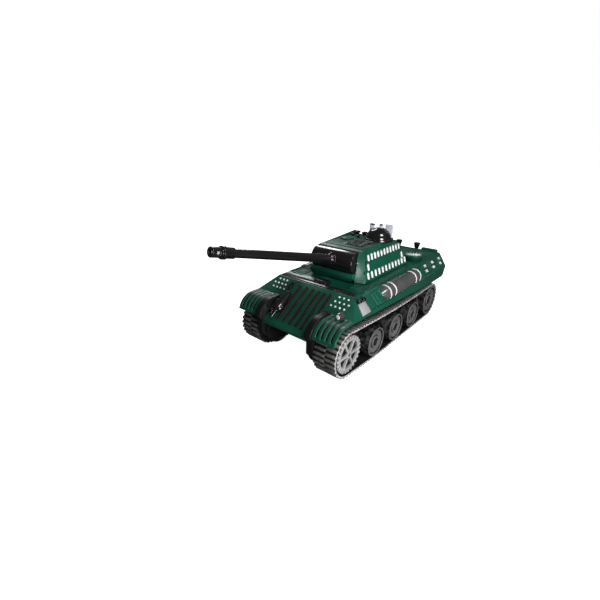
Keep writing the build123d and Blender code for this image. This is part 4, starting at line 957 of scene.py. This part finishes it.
def make_louvre():
    """A thin base plate and a row of slats: each slat's section is a thin bent strip that
    rises towards the front, with a painted highlight along its upper edge."""
    low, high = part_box("roof_grille")
    z, lift, slope = low.z, 0.5 * MM, 9.5 * MM
    outline = rounded([(high.x, low.y), (high.x, high.y), (low.x, high.y), (low.x + slope, low.y)],
                      0.6 * MM, 4)
    middle = outline.mean(axis=0)
    base = stacked(outline - middle, middle, (1.0, 1.0, 0.985), (z, z + lift - 0.15 * MM, z + lift))
    shells, tone_and_painted_light = [(base, False)], [0.0]
    strip = rounded([(-1.2, -0.15), (0.2, 0.0), (1.2, 0.55), (1.2, 0.85), (0.1, 0.3),
                     (-1.2, 0.15)], 0.12, 3) * MM
    # Painted highlight: the front part of each slat's strip, along its upper edge, takes the pale colour.
    pale = np.where(strip[:, 0] > 0.3 * MM, 0.95, 0.0)
    across = np.broadcast_to((1.0, 0.0, 0.0), (4, 3))
    up = np.broadcast_to((0.0, 0.0, 1.0), (4, 3))
    for x in high.x - (2.5 + 4.4 * np.arange(SLATS)) * MM:
        share = np.clip((low.x + slope - x) / slope, 0.0, 1.0)
        y = np.linspace(low.y + 1.2 * MM + share * (high.y - low.y), high.y - 1.2 * MM, 4)
        if y[-1] - y[0] < 2 * MM:
            continue
        centres = np.stack([np.full(4, x), y, np.full(4, z + lift + 0.2 * MM)], -1)
        shells.append((carried(strip, centres, across, up), False))
        tone_and_painted_light.append(pale[None, None, :])
    stand_for(surface("roof_louvre", shells, tone_and_painted_light), "roof_grille")


def make_launchers():
    """On the left front side panel a pale plate with softened edges, its front edge
    leaning, and two dark turned cups standing on it."""
    slope = atan2(66.8 - 54.4, 56.4 - 45.0)
    along, up, out = (1.0, 0.0, 0.0), (0.0, -cos(slope), sin(slope)), (0.0, sin(slope), cos(slope))
    foot = np.array([TANK_X, 56.4 * MM, 54.4 * MM])
    outline = rounded([(77.6, 0.4), (90.6, 0.4), (87.6, 12.9), (77.6, 12.9)], 0.7, 4) * MM
    middle = outline.mean(axis=0)
    plate = stacked(outline - middle, middle, (1.0, 1.0, 0.96), np.array([0.0, 0.75, 1.0]) * MM)
    plate = placed(plate, foot, along, up, out)
    stand_for(surface("launcher_plate", [(plate, False)]), "side_launchers", "sprocket_silver")
    cup = rounded([(0.1, 0.8), (1.9, 0.8), (1.95, 3.9), (1.6, 4.15), (1.2, 3.9), (1.1, 2.4),
                   (0.1, 2.4)], 0.2, 4, closed=False) * MM
    shells = []
    for x in (87.0, 80.0):
        start = foot + np.array(along) * x * MM + np.array(up) * 0.74 * 16.84 * MM
        shells.append((placed(turned(cup, 32), start, along, up, out), False))
    add_to(surface("launcher_cups", shells), "hull", "gun_black")


def make_lamp_lens():
    """A shallow turned lens in the front of the headlight."""
    low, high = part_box("headlight")
    y, z = (low.y + high.y) / 2, high.z - 3.0 * MM
    lens = rounded([(0.1, -0.5), (2.0, -0.5), (2.0, 0.15), (1.1, 0.5), (0.1, 0.6)], 0.2, 4,
                   closed=False) * MM
    rings = placed(turned(lens, 40), (high.x, y, z), (0, 1, 0), (0, 0, 1), (1, 0, 0))
    add_to(surface("headlight_lens", [(rings, False)]), "hull", "prism_clear")


# ---- operators ------------------------------------------------------------------------
class TOYTANK_OT_frame_finishes(Operator):
    """Give every node of the frame the finish of its slot"""
    bl_idname = "toy_tank.frame_finishes"
    bl_label = "Finish frame nodes"

    def execute(self, context):
        for node, obj in frame["nodes"].items():
            obj.data.materials.clear()
            obj.data.materials.append(finish(NODE_SLOT[node]))
        return {"FINISHED"}


class TOYTANK_OT_body(Operator):
    """Round the edges of the hull, turret and every moulded fitting"""
    bl_idname = "toy_tank.body"
    bl_label = "Moulded body"

    large = ("upper_hull", "turret_shell", "lower_hull", "rear_bins", "gear_housing_left",
             "gear_housing_right")
    small = ("glacis_bars", "glacis_studs", "hull_side_studs", "turret_side_studs", "deck_strip",
             "exhaust_stacks", "headlight", "bow_gun", "muzzle_brake", "wheel_pins")

    def execute(self, context):
        sizes = context.scene.toy_tank_sizes
        for node in self.large:
            softened(node, sizes.edge_round, 2)
        for node in self.small:
            softened(node, sizes.small_round, 2)
        return {"FINISHED"}


class TOYTANK_OT_tracks(Operator):
    """Make both tracks"""
    bl_idname = "toy_tank.tracks"
    bl_label = "Tracks"

    def execute(self, context):
        for side, sign in SIDES:
            make_track(side, sign)
        return {"FINISHED"}


class TOYTANK_OT_wheels(Operator):
    """Make the road wheels and idlers"""
    bl_idname = "toy_tank.wheels"
    bl_label = "Wheels"

    def execute(self, context):
        for side, sign in SIDES:
            for part in ("road_wheel_1_", "road_wheel_2_", "road_wheel_3_", "idler_"):
                make_wheel(part + side, sign)
        return {"FINISHED"}


class TOYTANK_OT_sprockets(Operator):
    """Make the drive sprockets"""
    bl_idname = "toy_tank.sprockets"
    bl_label = "Sprockets"

    def execute(self, context):
        for side, sign in SIDES:
            make_sprocket(side, sign)
        return {"FINISHED"}


class TOYTANK_OT_gun(Operator):
    """Make the gun barrel"""
    bl_idname = "toy_tank.gun"
    bl_label = "Gun"

    def execute(self, context):
        make_gun()
        return {"FINISHED"}


class TOYTANK_OT_mantlet(Operator):
    """Make the gun mantlet"""
    bl_idname = "toy_tank.mantlet"
    bl_label = "Mantlet"

    def execute(self, context):
        make_mantlet()
        return {"FINISHED"}


class TOYTANK_OT_cupola(Operator):
    """Make the cupola dome"""
    bl_idname = "toy_tank.cupola"
    bl_label = "Cupola"

    def execute(self, context):
        make_cupola()
        return {"FINISHED"}


class TOYTANK_OT_tubes(Operator):
    """Make the stowage tubes and their bands"""
    bl_idname = "toy_tank.tubes"
    bl_label = "Stowage tubes"

    def execute(self, context):
        make_tubes()
        return {"FINISHED"}


class TOYTANK_OT_fans(Operator):
    """Make the fan bowls and grilles"""
    bl_idname = "toy_tank.fans"
    bl_label = "Fans"

    def execute(self, context):
        make_fans()
        return {"FINISHED"}


class TOYTANK_OT_fender_strips(Operator):
    """Make the dark strips in the fender grooves"""
    bl_idname = "toy_tank.fender_strips"
    bl_label = "Fender strips"

    def execute(self, context):
        make_fender_strips()
        return {"FINISHED"}


class TOYTANK_OT_periscopes(Operator):
    """Make the periscope prisms and their caps"""
    bl_idname = "toy_tank.periscopes"
    bl_label = "Periscopes"

    def execute(self, context):
        make_periscopes()
        return {"FINISHED"}


class TOYTANK_OT_roof(Operator):
    """Make the roof hatch, caps and louvre"""
    bl_idname = "toy_tank.roof"
    bl_label = "Roof fittings"

    def execute(self, context):
        make_roof_hatch()
        make_louvre()
        return {"FINISHED"}


class TOYTANK_OT_launchers(Operator):
    """Make the side launcher and the headlight's lens"""
    bl_idname = "toy_tank.launchers"
    bl_label = "Launchers and lens"

    def execute(self, context):
        make_launchers()
        make_lamp_lens()
        return {"FINISHED"}


class TOYTANK_OT_stage(Operator):
    """Make the floor, the soft lights and the camera"""
    bl_idname = "toy_tank.stage"
    bl_label = "Stage"

    def execute(self, context):
        stage = context.scene.toy_tank_stage
        make_floor(tuple(stage.floor))
        make_lights(stage)
        make_camera(stage.lens)
        context.scene.view_settings.view_transform = "Standard"
        return {"FINISHED"}


def make_floor(tint):
    """A wide flat disc under the tracks with a faint mottle; it sends back less light than
    it shows, so that the undersides stay dark."""
    ring = np.array([(0.01, 0.0), (5.0, 0.0), (5.0, -0.004), (0.01, -0.004)])
    floor = surface("studio_floor", [(turned(ring, 96), False)], angle=35.0)
    material, tree, shader = new_material("studio_floor")
    seen = tree.nodes.new("ShaderNodeLightPath").outputs["Is Camera Ray"]
    shown = blended(tree, tuple(0.985 * c for c in tint), tint, noise(tree, 3.0))
    wire(tree, blended(tree, (0.10, 0.10, 0.10), shown, seen), shader.inputs["Base Color"])
    wire(tree, maths(tree, "MULTIPLY", seen, 0.97), shader.inputs["Emission Strength"])
    shader.inputs["Emission Color"].default_value = (1.0, 1.0, 1.0, 1.0)
    shader.inputs["Roughness"].default_value = 0.9
    shader.inputs["Specular IOR Level"].default_value = 0.0
    floor.data.materials.append(material)


def make_lights(stage):
    """Soft discs: key above the tank's left, a low one by its front left wheels, and one high
    behind on the right.  The surround is white to look at and dim as a light."""
    aim = Vector((0.0, 0.0, 0.05))
    for name, place, size, power in (
            ("key", (0.25, 0.62, 0.95), 0.4, stage.key),
            ("side", (0.17, 0.33, 0.08), 0.16, stage.side),
            ("back", (-0.52, -0.60, 0.70), 0.35, stage.back)):
        lamp = bpy.data.lights.new(name, "AREA")
        lamp.shape = "DISK"
        lamp.size = size
        lamp.energy = power
        obj = bpy.data.objects.new(name, lamp)
        obj.location = place
        obj.rotation_euler = (aim - Vector(place)).to_track_quat("-Z", "Y").to_euler()
        bpy.context.scene.collection.objects.link(obj)
    world = bpy.data.worlds.new("studio")
    world.use_nodes = True
    tree = world.node_tree
    background = tree.nodes["Background"]
    background.inputs["Color"].default_value = (1.0, 1.0, 1.0, 1.0)
    seen = tree.nodes.new("ShaderNodeLightPath").outputs["Is Camera Ray"]
    strength = maths(tree, "MAXIMUM", seen, stage.sky)
    wire(tree, strength, background.inputs["Strength"])
    bpy.context.scene.world = world


def make_camera(lens):
    """A camera in front of the tank's left side, looking down on it."""
    yaw, pitch, roll = CAMERA_YAW, CAMERA_PITCH, CAMERA_ROLL
    ahead = Vector((cos(yaw) * cos(pitch), sin(yaw) * cos(pitch), -sin(pitch)))
    right = Vector((sin(yaw), -cos(yaw), 0.0))
    up = right.cross(ahead)
    right, up = right * cos(roll) + up * sin(roll), up * cos(roll) - right * sin(roll)
    data = bpy.data.cameras.new("camera")
    data.lens = lens
    data.sensor_width = 36.0
    data.clip_start = 0.01
    camera = bpy.data.objects.new("camera", data)
    place = Vector((318.4 * MM + TANK_X, 183.97 * MM, 179.9 * MM))
    camera.matrix_world = Matrix((*(tuple(row) for row in zip(right, up, -ahead, place)),
                                  (0, 0, 0, 1)))
    bpy.context.scene.collection.objects.link(camera)
    bpy.context.scene.camera = camera


OPERATORS = (TOYTANK_OT_frame_finishes, TOYTANK_OT_body, TOYTANK_OT_tracks, TOYTANK_OT_wheels,
             TOYTANK_OT_sprockets, TOYTANK_OT_gun, TOYTANK_OT_mantlet, TOYTANK_OT_cupola,
             TOYTANK_OT_periscopes, TOYTANK_OT_roof, TOYTANK_OT_launchers, TOYTANK_OT_tubes,
             TOYTANK_OT_fans, TOYTANK_OT_fender_strips, TOYTANK_OT_stage)


class TOYTANK_PT_sidebar(Panel):
    """Lists the tank's pieces in the order they are made"""
    bl_idname = "TOYTANK_PT_sidebar"
    bl_label = "Toy Tank"
    bl_space_type = "VIEW_3D"
    bl_region_type = "UI"
    bl_category = "Toy Tank"

    def draw(self, context):
        for operator in OPERATORS:
            self.layout.operator(operator.bl_idname)


CLASSES = (TankSizes, TankColours, TankStage) + OPERATORS + (TOYTANK_PT_sidebar,)


def register():
    for cls in CLASSES:
        bpy.utils.register_class(cls)
    bpy.types.Scene.toy_tank_sizes = PointerProperty(type=TankSizes)
    bpy.types.Scene.toy_tank_colours = PointerProperty(type=TankColours)
    bpy.types.Scene.toy_tank_stage = PointerProperty(type=TankStage)


def unregister():
    del bpy.types.Scene.toy_tank_stage
    del bpy.types.Scene.toy_tank_colours
    del bpy.types.Scene.toy_tank_sizes
    for cls in reversed(CLASSES):
        bpy.utils.unregister_class(cls)


def main():
    register()
    for operator in OPERATORS:
        group, name = operator.bl_idname.split(".")
        getattr(getattr(bpy.ops, group), name)()


if __name__ == "__main__":
    main()
